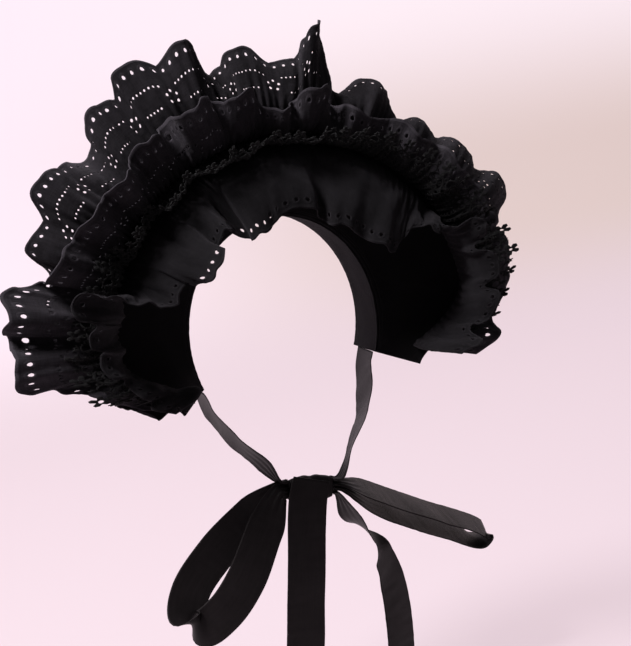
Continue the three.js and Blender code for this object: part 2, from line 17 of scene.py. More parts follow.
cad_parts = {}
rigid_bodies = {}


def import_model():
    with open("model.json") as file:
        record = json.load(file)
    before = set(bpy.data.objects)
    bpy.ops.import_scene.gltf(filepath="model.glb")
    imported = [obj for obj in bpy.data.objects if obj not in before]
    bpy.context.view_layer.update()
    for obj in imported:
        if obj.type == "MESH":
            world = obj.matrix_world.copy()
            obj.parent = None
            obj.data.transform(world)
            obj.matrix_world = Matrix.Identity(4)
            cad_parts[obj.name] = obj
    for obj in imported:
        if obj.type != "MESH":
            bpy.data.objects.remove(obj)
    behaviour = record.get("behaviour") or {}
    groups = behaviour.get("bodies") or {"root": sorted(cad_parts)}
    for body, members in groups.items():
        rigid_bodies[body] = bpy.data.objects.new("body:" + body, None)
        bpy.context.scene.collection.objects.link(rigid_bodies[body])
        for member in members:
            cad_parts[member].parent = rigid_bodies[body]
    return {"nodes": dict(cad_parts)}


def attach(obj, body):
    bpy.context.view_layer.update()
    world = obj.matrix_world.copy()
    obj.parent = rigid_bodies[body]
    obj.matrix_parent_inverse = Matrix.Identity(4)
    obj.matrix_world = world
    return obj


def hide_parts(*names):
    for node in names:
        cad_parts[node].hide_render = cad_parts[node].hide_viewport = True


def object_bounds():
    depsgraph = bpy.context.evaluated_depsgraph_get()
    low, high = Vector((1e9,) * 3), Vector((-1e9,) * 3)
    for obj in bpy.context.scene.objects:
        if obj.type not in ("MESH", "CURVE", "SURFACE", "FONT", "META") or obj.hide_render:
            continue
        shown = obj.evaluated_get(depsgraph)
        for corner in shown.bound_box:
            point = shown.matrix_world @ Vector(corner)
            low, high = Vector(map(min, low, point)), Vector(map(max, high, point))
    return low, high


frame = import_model()
solid_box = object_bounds()
scene = bpy.context.scene
print("solids:", ", ".join(sorted(frame["nodes"])))

# %% [markdown]
# The camera stands in front of the wearer, a little to the wearer's right and above the brim, and the head is
# tipped over to the left of the picture. So the camera gets a roll as well as an azimuth and an elevation.
# Its distance and scale were found by laying the solids' outline over the picture.

# %% The camera
PICTURE = Vector((631, 646))
AZIMUTH = math.radians(-20)
ELEVATION = math.radians(10)
ROLL = math.radians(8)
DISTANCE = 1.35
PIXELS_PER_METRE = 1030
HEAD_TOP_IN_PICTURE = Vector((260, 216))

away = Vector((0, -1, 0))
away.rotate(Matrix.Rotation(-ELEVATION, 3, "X"))
away.rotate(Matrix.Rotation(AZIMUTH, 3, "Z"))
level = Vector((math.cos(AZIMUTH), math.sin(AZIMUTH), 0))
rise = away.cross(level)
right = math.cos(ROLL) * level - math.sin(ROLL) * rise
up = math.sin(ROLL) * level + math.cos(ROLL) * rise
aside = (HEAD_TOP_IN_PICTURE - PICTURE / 2) / PIXELS_PER_METRE

camera = bpy.data.objects.new("camera", bpy.data.cameras.new("camera"))
camera.matrix_world = Matrix((right, up, away)).transposed().to_4x4()
camera.location = DISTANCE * away - aside.x * right + aside.y * up
camera.data.lens = camera.data.sensor_width * PIXELS_PER_METRE * DISTANCE / max(PICTURE)
scene.collection.objects.link(camera)
scene.camera = camera
print("camera at", [round(c, 3) for c in camera.location], "lens", round(camera.data.lens, 1), "mm")

# %% [markdown]
# Shader maths reads best as plain expressions. This small class holds one output of a node, and adds a Math
# node for each operator. A finish collects such wires into one Principled material.

# %% Wires and finishes
class Wire:
    """An output of a shader node. Sums and products of wires add their Math nodes."""

    def __init__(self, tree, socket):
        self.tree = tree
        self.socket = socket

    def node(self, kind, inputs, output=0, **settings):
        made = self.tree.nodes.new(kind)
        for name, value in settings.items():
            setattr(made, name, value)
        for name, value in inputs.items():
            if isinstance(value, Wire):
                self.tree.links.new(value.socket, made.inputs[name])
            else:
                made.inputs[name].default_value = value
        return Wire(self.tree, made.outputs[output])

    def maths(self, operation, *others):
        inputs = dict(enumerate((self, *others)))
        return self.node("ShaderNodeMath", inputs, operation=operation)

    def __add__(self, other):
        return self.maths("ADD", other)

    def __sub__(self, other):
        return self.maths("SUBTRACT", other)

    def __rsub__(self, other):
        return self.maths("MULTIPLY", -1) + other

    def __mul__(self, other):
        return self.maths("MULTIPLY", other)

    __radd__ = __add__

    def waves(self, pitch):
        """A sine wave along this wire, one wave to each pitch."""
        return (self * (2 * math.pi / pitch)).maths("SINE")

    def size(self):
        return self.maths("ABSOLUTE")

    def within(self, period):
        """How far this lies from the nearest whole period, from 0 to half a period."""
        return self.maths("PINGPONG", period / 2)

    def ramp(self, low, high):
        """0 below low and 1 above high, and smooth in between."""
        return self.node(
            "ShaderNodeMapRange",
            {"Value": self, "From Min": low, "From Max": high},
            interpolation_type="SMOOTHSTEP",
        )

    def mix(self, dark, light):
        """A colour from dark, where this is 0, to light, where it is 1."""
        inputs = {0: self, 6: dark, 7: light}
        return self.node("ShaderNodeMix", inputs, output=2, data_type="RGBA")


class Finish:
    """A Principled material. Its constants are set by name, and what varies is wired in."""

    def __init__(self, name, **constants):
        self.material = bpy.data.materials.new(name)
        self.material.use_nodes = True
        self.tree = self.material.node_tree
        self.surface = self.tree.nodes["Principled BSDF"]
        for socket, value in constants.items():
            self.surface.inputs[socket.replace("_", " ")].default_value = value
        self.start = Wire(self.tree, None)

    def places(self, kind):
        """The Object or UV coordinates, as a whole and as x, y and z."""
        made = self.tree.nodes.new("ShaderNodeTexCoord")
        whole = Wire(self.tree, made.outputs[kind])
        split = self.tree.nodes.new("ShaderNodeSeparateXYZ")
        self.tree.links.new(whole.socket, split.inputs[0])
        return whole, [Wire(self.tree, axis) for axis in split.outputs]

    def noise(self, where, scale, detail, roughness, stretch=(1, 1, 1)):
        placed = self.start.node("ShaderNodeMapping", {"Vector": where, "Scale": stretch})
        inputs = {"Vector": placed, "Scale": scale, "Detail": detail, "Roughness": roughness}
        return self.start.node("ShaderNodeTexNoise", inputs)

    def wire(self, socket, value):
        self.tree.links.new(value.socket, self.surface.inputs[socket])

    def relief(self, height, depth):
        bump = self.start.node("ShaderNodeBump", {"Height": height, "Distance": depth, "Strength": 1.0})
        self.wire("Normal", bump)


# %% [markdown]
# The eyelets sit on a grid of small cells, twelve to a scallop. The holes are opened by these sizes, and the
# cotton's finish lays thread round them by the same ones. Each hole's size is its radius.

# %% The eyelet pattern
SCALLOP_PITCH = 0.058
SCALLOP_DEPTH = 0.008
SHALLOW_DEPTH = 0.004
SCALLOP_CELLS = 12
CELL = SCALLOP_PITCH / SCALLOP_CELLS
HOLE_FROM_HEM = 0.0075
EDGE_HOLE = 0.0024
CHAIN_HOLE = 0.0011
PETAL_HOLE = 0.0017
PETAL_RING = 0.0066
print("eyelets sit on a grid of", round(CELL * 1000, 2), "mm")

# %% [markdown]
# Black cotton is not black: it is a very dark grey with a breath of lilac, dull, and lit up at grazing angles
# by its nap. The cloth's own UV map is in metres, along the hem and up from the seam, so that the weave, the
# thread round each eyelet and the stitched hem follow the cloth wherever it is bent. In the sums below, a
# bare factor is the share that one effect has in the shade or in the relief.

# %% The cotton finish
THREAD = 0.00042
RIB_PITCH = 0.0011
STITCH_PITCH = 0.0028
STITCH_HALF_WIDTH = 0.0005
VALLEY_HALF_WIDTH = 0.0018
HEM_THREAD_FROM = 0.0023
HEM_THREAD_FULL = 0.0015
RING_FULL = 0.0005
RING_END = 0.0012
COTTON_RELIEF = 0.00016
COTTON_SHEEN = (0.80, 0.74, 0.84, 1)
COTTON_DARK = (0.0042, 0.0037, 0.0044, 1)
COTTON_LIGHT = (0.0230, 0.0205, 0.0245, 1)


def row_of(across, middle, half):
    """1 on a line of stitches that runs along the cloth, and 0 away from it."""
    return 1 - (across - middle).size().ramp(half * 0.6, half)


def eyelet_thread(along, across, step, row):
    """1 on the ring of thread round each edge eyelet. The eyelets are two steps apart."""
    aside = (along - step).within(2 * step)
    above = across - row
    far = (aside * aside + above * above).maths("SQRT")
    return 1 - far.ramp(EDGE_HOLE + RING_FULL, EDGE_HOLE + RING_END)


def cotton(name, dark, light, hem=None, step=None, rows=()):
    finish = Finish(name, Roughness=0.9, Sheen_Weight=0.05, Sheen_Roughness=0.5, Specular_IOR_Level=0.1)
    finish.surface.inputs["Sheen Tint"].default_value = COTTON_SHEEN
    whole, (along, across, _) = finish.places("UV")
    place, _ = finish.places("Object")
    weave = along.waves(2 * THREAD) * across.waves(2 * THREAD)
    slub = finish.noise(whole, scale=900, detail=3, roughness=0.6, stretch=(0.12, 1, 1))
    slub = slub + finish.noise(whole, scale=900, detail=3, roughness=0.6, stretch=(1, 0.12, 1))
    cloud = finish.noise(place, scale=38, detail=4, roughness=0.6)
    lint = finish.noise(place, scale=420, detail=2, roughness=0.7).ramp(0.66, 0.8)
    shade = (cloud - 0.5) * 0.9 + (slub - 1.0) * 0.8 + weave * 0.12 + 0.45
    height = weave * 0.5 + slub * 0.6
    rib = along.waves(RIB_PITCH)
    if hem:
        stitched = across.ramp(hem - HEM_THREAD_FROM, hem - HEM_THREAD_FULL)
        ring = eyelet_thread(along, across, step, hem - HOLE_FROM_HEM)
        shade = shade + stitched * (0.35 + rib * 0.2) + ring * (0.3 + rib * 0.15)
        height = height + stitched * (2.0 + rib * 0.8) + ring * (2.0 + rib * 0.5)
    for middle in rows:
        stitch = row_of(across, middle, STITCH_HALF_WIDTH) * along.waves(STITCH_PITCH).ramp(-0.5, -0.2)
        valley = row_of(across, middle, VALLEY_HALF_WIDTH)
        shade = shade + stitch * 0.5
        height = height + stitch * 3.0 - valley * 2.2
    shade = shade + lint * 0.4
    finish.wire("Base Color", shade.mix(dark, light))
    finish.wire("Roughness", 0.94 - shade * 0.1)
    finish.relief(height, COTTON_RELIEF)
    return finish.material


def cotton_in_painted_light_and_shade(share):
    """The cotton's dark and light colours, scaled to a share of themselves: below 1 as painted shade, above 1
    as painted light.
    """
    return [(*(part * share for part in colour[:3]), 1) for colour in (COTTON_DARK, COTTON_LIGHT)]


print("cotton goes from", COTTON_DARK[:3], "to", COTTON_LIGHT[:3])

# %% [markdown]
# The lace is the same cotton as thick thread, with a twist and some fluff. The satin is brown-black and
# smoother, with fine ribs across, streaks along, and a closer weave at its two edges, the selvedges.

# %% The lace and satin finishes
TWIST_PITCH = 0.0007
# The lace thread is the cotton darkened to a quarter, as painted shade.
THREAD_PAINTED_SHADE = 0.25
THREAD_RELIEF = 0.0002
RIBBON_WIDTH = 0.038
SATIN_RIB_PITCH = 0.00045
SELVEDGE_FROM = 0.0174
SELVEDGE_FULL = 0.0178
SATIN_RELIEF = 0.00008
SATIN_DARK = (0.0030, 0.0023, 0.0025, 1)
SATIN_LIGHT = (0.0120, 0.0095, 0.0103, 1)


def lace_thread():
    sheen = {"Sheen_Weight": 0.06, "Sheen_Roughness": 0.4}
    finish = Finish("lace thread", Roughness=0.8, Specular_IOR_Level=0.15, **sheen)
    _, (along, across, _) = finish.places("UV")
    place, _ = finish.places("Object")
    twist = (along + across).waves(TWIST_PITCH)
    fluff = finish.noise(place, scale=700, detail=3, roughness=0.7)
    shade = fluff * 0.8 + twist * 0.15
    finish.wire("Base Color", shade.mix(*cotton_in_painted_light_and_shade(THREAD_PAINTED_SHADE)))
    finish.relief(twist * 0.6 + fluff, THREAD_RELIEF)
    return finish.material


def satin():
    finish = Finish("satin ribbon", Specular_IOR_Level=0.12)
    whole, (along, across, _) = finish.places("UV")
    ribs = along.waves(SATIN_RIB_PITCH)
    streaks = finish.noise(whole, scale=420, detail=3, roughness=0.6, stretch=(0.08, 1, 1))
    clouds = finish.noise(whole, scale=60, detail=3, roughness=0.5)
    selvedge = (across - RIBBON_WIDTH / 2).size().ramp(SELVEDGE_FROM, SELVEDGE_FULL)
    shade = streaks * 0.7 + clouds * 0.4 - 0.1 + selvedge * 0.3
    finish.wire("Base Color", shade.mix(SATIN_DARK, SATIN_LIGHT))
    finish.wire("Roughness", 0.36 + streaks * 0.14 + selvedge * 0.2)
    finish.relief(ribs * 0.3 + streaks * 0.5 + selvedge * 2.0, SATIN_RELIEF)
    return finish.material


lace_finish = lace_thread()
satin_finish = satin()
print("finishes:", lace_finish.name, "and", satin_finish.name)

# %% [markdown]
# Everything on the bonnet is placed by its angle round the head, from the top to each side, a distance out
# from the middle of the head and a distance forward. These few functions say where the brim and each seam
# lie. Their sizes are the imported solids' own.

# %% The arch
HEAD_HALF_WIDTH = 0.096
HEAD_RISE = 0.110
BAND_REACH = 114
BAND_DEPTH = 0.056
BAND_WALL = 0.003
RIM_RADIUS = 0.196
RIM_FORWARD = 0.062
RIM_END_RADIUS = 0.132
RIM_TAPER_FROM = 82
BRIM_WALL = 0.0024
SEAM_GAP = 0.0006


def blend(low, high, share):
    return low + (high - low) * share


def smoothstep(value, low, high):
    share = min(max((value - low) / (high - low), 0), 1)
    return share * share * (3 - 2 * share)


def arch_point(at, out, forward):
    angle = math.radians(at)
    return Vector((math.sin(angle) * out, -forward, math.cos(angle) * out - HEAD_RISE))


def band_radius(at):
    angle = math.radians(at)
    return 1 / math.hypot(math.sin(angle) / HEAD_HALF_WIDTH, math.cos(angle) / HEAD_RISE)


def rim_radius(at):
    return blend(RIM_RADIUS, RIM_END_RADIUS, smoothstep(abs(at), RIM_TAPER_FROM, BAND_REACH))


def brim_section(at):
    """The brim's foot, its rim and its slope, each as a distance out and forward."""
    foot = Vector((band_radius(at) + BAND_WALL / 2, (BAND_DEPTH + BRIM_WALL) / 2 + SEAM_GAP))
    rim = Vector((rim_radius(at), RIM_FORWARD))
    return foot, rim, (rim - foot).normalized()


def seam_at(at, inset):
    """Where a ruffle's seam lies, and the way in which its cloth leaves the brim."""
    _, rim, slope = brim_section(at)
    way = Vector((-slope.y, slope.x)) if inset > 0 else slope
    draw = (rim_radius(at + 1) - rim_radius(at - 1)) / (math.radians(2) * rim.x)
    slant = math.hypot(1, draw * (slope.y if inset > 0 else slope.x))
    lift = (BRIM_WALL / 2 + SEAM_GAP if inset > 0 else SEAM_GAP) * slant
    return rim - inset * slope + lift * way, way


# %% [markdown]
# A hem and a ribbon both follow a smooth line through chosen points. The line is walked in short steps once,
# and can then give the point at any share of its length.

# %% A smooth line
class Line:
    STEPS = 24
    LOOK_AHEAD = 0.004

    def __init__(self, points):
        ends = [2 * points[0] - points[1], *points, 2 * points[-1] - points[-2]]
        self.places = [points[0]]
        for near in zip(ends, ends[1:], ends[2:], ends[3:]):
            self.places += [self.between(*near, step / self.STEPS) for step in range(1, self.STEPS + 1)]
        self.lengths = [0.0]
        for a, b in zip(self.places, self.places[1:]):
            self.lengths.append(self.lengths[-1] + (b - a).length)
        self.length = self.lengths[-1]

    @staticmethod
    def between(a, b, c, d, share):
        first, middle, last = ((q - p).length ** 0.5 for p, q in ((a, b), (b, c), (c, d)))
        leave = ((b - a) / first - (c - a) / (first + middle) + (c - b) / middle) * middle
        arrive = ((c - b) / middle - (d - b) / (middle + last) + (d - c) / last) * middle
        square = 3 * (c - b) - 2 * leave - arrive
        cube = 2 * (b - c) + leave + arrive
        return b + share * (leave + share * (square + share * cube))

    def step(self, share):
        """The number of steps, with its fraction, at a share of the length."""
        far = min(max(share, 0), 1) * self.length
        i = min(max(bisect_right(self.lengths, far) - 1, 0), len(self.places) - 2)
        return i + (far - self.lengths[i]) / max(self.lengths[i + 1] - self.lengths[i], 1e-9)

    def at(self, share):
        step = self.step(share)
        i = min(int(step), len(self.places) - 2)
        return self.places[i].lerp(self.places[i + 1], step - i)

    def heading(self, share):
        return (self.at(share + self.LOOK_AHEAD) - self.at(share - self.LOOK_AHEAD)).normalized()

    def share_at_point(self, i):
        return self.lengths[i * self.STEPS] / self.length


# %% [markdown]
# Each row of these tables is one fold of a hem, as a dressmaker would set it by hand: where its crest lies
# round the head, how wide the crest is to each side (3 degrees where the row doesn't say), how far it leans
# forward from straight out, how far it reaches as a share of the ruffle's cut width, and how far the cloth
# falls back before the next crest. All but the reach are in degrees.

# %% The folds of the back ruffle
Fold = namedtuple("Fold", "at lean reach dip wide", defaults=(3,))

BACK_FOLDS = [
    Fold(at=-106, wide=2.5, lean=-4, reach=0.12, dip=6),
    Fold(at=-97, lean=-4, reach=0.18, dip=8),
    Fold(at=-88, lean=0, reach=0.5, dip=14),
    Fold(at=-78, wide=2.5, lean=-6, reach=0.5, dip=12),
    Fold(at=-69, wide=1.5, lean=-2, reach=0.44, dip=6),
    Fold(at=-60.5, wide=2.6, lean=0, reach=0.74, dip=4),
    Fold(at=-50, lean=0, reach=0.9, dip=24),
    Fold(at=-33.5, wide=2, lean=0, reach=0.92, dip=5),
    Fold(at=-25.5, wide=2.5, lean=0, reach=1.04, dip=6),
    Fold(at=-14.2, wide=1.4, lean=6, reach=1, dip=26),
    Fold(at=-4.5, wide=2.6, lean=-2, reach=0.78, dip=6),
    Fold(at=6.9, wide=0.8, lean=0, reach=0.62, dip=2),
    Fold(at=11.2, wide=1.4, lean=10, reach=0.98, dip=44),
    Fold(at=27.5, wide=3.4, lean=-10, reach=0.58, dip=20),
    Fold(at=42, wide=2.4, lean=-20, reach=0.5, dip=10),
    Fold(at=54, lean=-18, reach=0.64, dip=10),
    Fold(at=67, wide=3.4, lean=-18, reach=0.8, dip=18),
    Fold(at=79, lean=-10, reach=0.46, dip=12),
    Fold(at=90, lean=-8, reach=0.4, dip=12),
    Fold(at=104, lean=-6, reach=0.5, dip=10),
]

# %% [markdown]
# The middle ruffle leans forward of the back one, and most of all over the top of the head.

# %% The folds of the middle ruffle
MIDDLE_FOLDS = [
    Fold(at=-106, wide=2, lean=36, reach=0.24, dip=8),
    Fold(at=-96, wide=2.5, lean=30, reach=0.44, dip=10),
    Fold(at=-86, wide=3.2, lean=22, reach=1, dip=12),
    Fold(at=-74, lean=22, reach=1.08, dip=14),
    Fold(at=-63, lean=40, reach=0.8, dip=10),
    Fold(at=-52, lean=50, reach=0.8, dip=10),
    Fold(at=-42, wide=2.5, lean=56, reach=0.8, dip=14),
    Fold(at=-32.5, wide=2, lean=44, reach=0.7, dip=26),
    Fold(at=-20, wide=2.6, lean=46, reach=0.76, dip=14),
    Fold(at=-9, lean=48, reach=0.66, dip=18),
    Fold(at=1, wide=1.4, lean=64, reach=0.44, dip=20),
    Fold(at=10.5, wide=2.6, lean=46, reach=0.58, dip=30),
    Fold(at=24, lean=56, reach=0.44, dip=14),
    Fold(at=38, lean=44, reach=0.46, dip=12),
    Fold(at=52, lean=38, reach=0.48, dip=12),
    Fold(at=66, lean=32, reach=0.48, dip=12),
    Fold(at=79, wide=2.5, lean=30, reach=0.42, dip=10),
    Fold(at=91, wide=2.5, lean=30, reach=0.4, dip=10),
    Fold(at=103.5, lean=36, reach=0.62, dip=8),
]

# %% [markdown]
# The lace is narrow. At the top of the head it points almost straight forward, between the middle ruffle and
# the front one. It shows most at its two lower ends.

# %% The folds of the lace frill
LACE_FOLDS = [
    Fold(at=-106, lean=54, reach=0.46, dip=6),
    Fold(at=-92, lean=34, reach=0.98, dip=8),
    Fold(at=-78, lean=42, reach=0.94, dip=8),
    Fold(at=-64, lean=56, reach=0.94, dip=8),
    Fold(at=-50, lean=72, reach=0.9, dip=6),
    Fold(at=-36, lean=82, reach=0.9, dip=6),
    Fold(at=-22, lean=84, reach=0.86, dip=6),
    Fold(at=-8, lean=84, reach=0.86, dip=6),
    Fold(at=6, lean=86, reach=0.86, dip=6),
    Fold(at=20, lean=80, reach=0.86, dip=6),
    Fold(at=34, lean=70, reach=0.88, dip=6),
    Fold(at=48, lean=60, reach=0.9, dip=8),
    Fold(at=62, lean=50, reach=0.96, dip=8),
    Fold(at=76, lean=44, reach=1, dip=8),
    Fold(at=90, lean=48, reach=0.8, dip=8),
    Fold(at=104, lean=58, reach=0.7, dip=8),
]

# %% [markdown]
# The front ruffle rolls right over above the forehead, where its leans pass 90 degrees. Its dips are
# negative, since between its crests it falls further forward.

# %% The folds of the front ruffle
FRONT_FOLDS = [
    Fold(at=-104, lean=60, reach=0.5, dip=-6),
    Fold(at=-95, lean=66, reach=0.46, dip=-8),
    Fold(at=-86, lean=64, reach=0.5, dip=-8),
    Fold(at=-78, wide=2.4, lean=62, reach=0.7, dip=-8),
    Fold(at=-71, wide=2.4, lean=56, reach=0.94, dip=-16),
    Fold(at=-61.5, wide=3.5, lean=122, reach=0.7, dip=-8),
    Fold(at=-48, wide=5, lean=120, reach=0.97, dip=-10),
    Fold(at=-33, wide=2, lean=122, reach=0.74, dip=-26),
    Fold(at=-21, wide=4, lean=138, reach=0.86, dip=-6),
    Fold(at=2, wide=5, lean=138, reach=0.77, dip=-5),
    Fold(at=21, wide=5, lean=141, reach=0.92, dip=-5),
    Fold(at=44, wide=6, lean=139, reach=0.95, dip=-10),
    Fold(at=57, wide=2.4, lean=112, reach=0.54, dip=-22),
    Fold(at=66, wide=2.6, lean=72, reach=0.62, dip=-14),
    Fold(at=78, wide=3.6, lean=76, reach=0.62, dip=-14),
    Fold(at=90, wide=3.6, lean=76, reach=0.62, dip=-12),
    Fold(at=103, lean=76, reach=0.8, dip=-10),
]

# %% [markdown]
# A ruffle is cut flat, so it is made flat first, and bent afterwards. The hem is one smooth line through the
# crests and dips. The seam below is gathered to match, so that every fold hangs straight from it, and the
# cloth between the two leaves the seam one way and arrives at the hem another, as a bent sheet does.
#
# A ruffle's row says how far inside the rim it is sewn (inset), how wide its cloth is (reach) and how far it
# runs straight on before it turns (leave). Then come how many gathers it has, the heights of its gathers and
# its soft folds, and the pitch and depth of its scallops, which are shallow where the row doesn't say. The
# shade scales its cotton's colours, as painted light above 1 and painted shade below 1, and a flowered ruffle
# has eyelet flowers as well as a hem row.

# %% How a ruffle bends
CREST_FALL = 0.25
DIP_DRAW = 90
POINTS_PER_FOLD = 4
COLUMN_STEPS = 8
COLUMNS_PER_FOLD = 12
STEEPEST = 1.9

Ruffle = namedtuple(
    "Ruffle",
    "name folds seed inset reach leave gathers gathered soft pitch depth shade flowered",
    defaults=(SCALLOP_PITCH, SHALLOW_DEPTH, 1, False),
)


def hem_line(ruffle):
    points = []

    def add(at, lean, share):
        seam, _ = seam_at(at, ruffle.inset)
        lean = math.radians(lean)
        reach = share * ruffle.reach
        points.append(arch_point(at, seam.x + math.cos(lean) * reach, seam.y + math.sin(lean) * reach))

    folds = ruffle.folds
    for i, fold in enumerate(folds):
        before = folds[max(i - 1, 0)]
        add(fold.at - fold.wide, fold.lean - CREST_FALL * before.dip, fold.reach)
        add(fold.at, fold.lean, fold.reach)
        add(fold.at + fold.wide, fold.lean - CREST_FALL * fold.dip, fold.reach)
        if i + 1 < len(folds):
            after = folds[i + 1]
            middle = (fold.at + fold.wide + after.at - after.wide) / 2
            drawn = 1 - abs(fold.dip) / DIP_DRAW
            add(middle, (fold.lean + after.lean) / 2 - fold.dip, drawn * (fold.reach + after.reach) / 2)
    return Line(points)


def seam_angles(ruffle, hem):
    """A function from a share of the hem to the angle of the seam that the cloth there is sewn to."""
    folds = ruffle.folds
    marks = [(0.0, folds[0].at - folds[0].wide)]
    marks += [(hem.share_at_point(POINTS_PER_FOLD * i + 1), fold.at) for i, fold in enumerate(folds)]
    marks.append((1.0, folds[-1].at + folds[-1].wide))
    shares = [share for share, _ in marks]

    def angle(share):
        i = min(max(bisect_right(shares, share) - 1, 0), len(marks) - 2)
        (low, start), (high, end) = marks[i], marks[i + 1]
        return blend(start, end, (share - low) / (high - low))

    return angle


def bent(ruffle, hem, scallops):
    """A function from a flat place on the cloth, in metres, to where it lies on the bonnet.

    The cloth is cut narrower where the ruffle is short. Near the hem a millimetre of the pattern stays a
    millimetre, so that the eyelets are round everywhere, and what is spare goes into the seam's gathers."""
    angle = seam_angles(ruffle, hem)

    def column(share, far):
        at = angle(share)
        seam, way = seam_at(at, ruffle.inset)
        turn = seam + ruffle.leave * way
        near = 1 - far
        return (
            near * near * arch_point(at, *seam)
            + 2 * far * near * arch_point(at, *turn)
            + far * far * hem.at(share)
        )

    def column_length(share):
        places = [column(share, i / COLUMN_STEPS) for i in range(COLUMN_STEPS + 1)]
        return sum((b - a).length for a, b in zip(places, places[1:]))

    samples = COLUMNS_PER_FOLD * len(ruffle.folds)
    lengths = [column_length(i / samples) for i in range(samples + 1)]

    def cut(share):
        i = min(int(share * samples), samples - 1)
        return blend(lengths[i], lengths[i + 1], share * samples - i)

    def place(along, across):
        share = along / hem.length
        from_hem = 1 - across / ruffle.reach
        steep = min(ruffle.reach / cut(share), STEEPEST)
        notch = ruffle.depth * (1 - abs(math.sin(math.pi * scallops * share))) / cut(share)
        far = 1 - steep * from_hem - (1 - steep) * from_hem**2
        return column(share, far - notch * far**3)

    area = sum(lengths) / len(lengths) * hem.length
    return place, angle, cut, area, max(lengths)


# %% [markdown]
# The flat cloth is a grid. Each eyelet is opened at a corner of the grid with a bevel of that one corner,
# whose face is then taken out, and a subdivision makes the four-sided holes round. The rows nearest the hem
# follow the scallops when the cloth is bent, and the eyelets with them.

# %% Flat eyelet cloth
VERTEX = bmesh.types.BMVert
EDGE = bmesh.types.BMEdge
ROUNDED = 0.66
PIERCED_WIDTH = 0.034
FLOWERED_WIDTH = 0.058
HEM_ROW = 2
FLOWER_ROW = 7
ChainRow = namedtuple("ChainRow", "below_hem first")
CHAIN_ROWS = [ChainRow(below_hem=5, first=2), ChainRow(below_hem=9, first=4)]
PETAL_CORNERS = [(0, 1), (-1, 0), (-1, -1), (1, -1), (1, 0)]


def only(kind, parts):
    return [part for part in parts if isinstance(part, kind)]


def flat_grid(length, width, columns, rows):
    bm = bmesh.new()
    bmesh.ops.create_grid(bm, x_segments=columns, y_segments=rows, size=0.5)
    bmesh.ops.translate(bm, vec=(0.5, 0.5, 0), verts=bm.verts)
    bmesh.ops.scale(bm, vec=(length, width, 1), verts=bm.verts)
    return bm


def open_eyelets(bm, corners, radius):
    opened = bmesh.ops.bevel(
        bm,
        geom=corners,
        offset=radius / ROUNDED,
        offset_type="OFFSET",
        segments=1,
        profile=0.5,
        affect="VERTICES",
        clamp_overlap=True,
        material=-1,
    )
    bmesh.ops.delete(bm, geom=opened["faces"], context="FACES")


def rounded(bm):
    """The same mesh after a subdivision, with its square corners kept."""
    mesh = bpy.data.meshes.new("flat cloth")
    bm.to_mesh(mesh)
    cloth = bpy.data.objects.new("flat cloth", mesh)
    scene.collection.objects.link(cloth)
    smooth = cloth.modifiers.new("Round", "SUBSURF")
    smooth.levels = smooth.render_levels = 1
    smooth.boundary_smooth = "PRESERVE_CORNERS"
    seen = cloth.evaluated_get(bpy.context.evaluated_depsgraph_get())
    bm.clear()
    bm.from_mesh(seen.to_mesh())
    seen.to_mesh_clear()
    bpy.data.objects.remove(cloth)
    bpy.data.meshes.remove(mesh)
    return bm


def eyelet_cloth(length, reach, scallops, cut, flowered):
    """Flat cotton with its rows of eyelets: one along the hem, two chains, and flowers between them.

    Where the cut is narrow, near the ruffle's ends, there is no room for the flowers or for any eyelet."""
    columns = SCALLOP_CELLS * scallops
    rows = round(reach / CELL)
    bm = flat_grid(length, reach, columns, rows)
    step_along, step_across = length / columns, reach / rows
    corner = {(round(v.co.x / step_along), round(v.co.y / step_across)): v for v in bm.verts}
    edge, chain, petals = [], [], []

    def room(column):
        return cut(min(max(column / columns, 0), 1))

    for scallop in range(scallops):
        left = SCALLOP_CELLS * scallop
        wide_enough = [i for i in range(1, SCALLOP_CELLS, 2) if room(left + i) > PIERCED_WIDTH]
        edge += [corner[left + i, rows - HEM_ROW] for i in wide_enough]
        if not flowered or min(room(left), room(left + SCALLOP_CELLS)) < FLOWERED_WIDTH:
            continue
        for row in CHAIN_ROWS:
            pierced = range(row.first, SCALLOP_CELLS - row.first + 1)
            chain += [corner[left + i, rows - row.below_hem] for i in pierced]
        if scallop:
            middle = corner[left, rows - FLOWER_ROW].co.copy()
            for petal, (i, j) in enumerate(PETAL_CORNERS):
                turn = math.radians(90 + 360 / len(PETAL_CORNERS) * petal)
                vertex = corner[left + i, rows - FLOWER_ROW + j]
                vertex.co = middle + PETAL_RING * Vector((math.cos(turn), math.sin(turn), 0))
                petals.append(vertex)
    for vertex in edge:
        vertex.co.y = reach - HOLE_FROM_HEM
    for corners, radius in ((edge, EDGE_HOLE), (chain, CHAIN_HOLE), (petals, PETAL_HOLE)):
        open_eyelets(bm, corners, radius)
    return rounded(bm), len(edge) + len(chain) + len(petals)


# %% [markdown]
# Bending moves every corner of the flat cloth, and writes where it was into the UV map first. Then the cloth
# is ruffled along its own normals: tight gathers that die away from the seam, soft folds between the big
# ones, and a slight crumple. Solidify gives the cloth a wall, fuller at the hem and round each eyelet.

# %% Bending and finishing a piece
GATHER_FADE = 0.050
GATHER_FROM = 0.006
WANDER = 0.8
WANDER_RATE = 34
UNEVEN = 0.7
UNEVEN_RATE = 55
FADE_CHANGE = 0.5
FADE_RATE = 47
SOFT_FROM = 0.01
SOFT_FULL = 0.6
SOFT_FOLD = (0.027, 0.10)
FINE_SHARE = 0.28
FINE_FOLD = (0.011, 0.036)
CRUMPLE = 0.0005
CRUMPLE_FOLD = (0.0045, 0.0045)


def lay_uv(bm, flat_place):
    """Smooths every face, and writes where each corner lies on the flat cloth."""
    uv = bm.loops.layers.uv.new("cloth")
    for face in bm.faces:
        face.smooth = True
        for loop in face.loops:
            loop[uv].uv = flat_place(loop.vert.co)


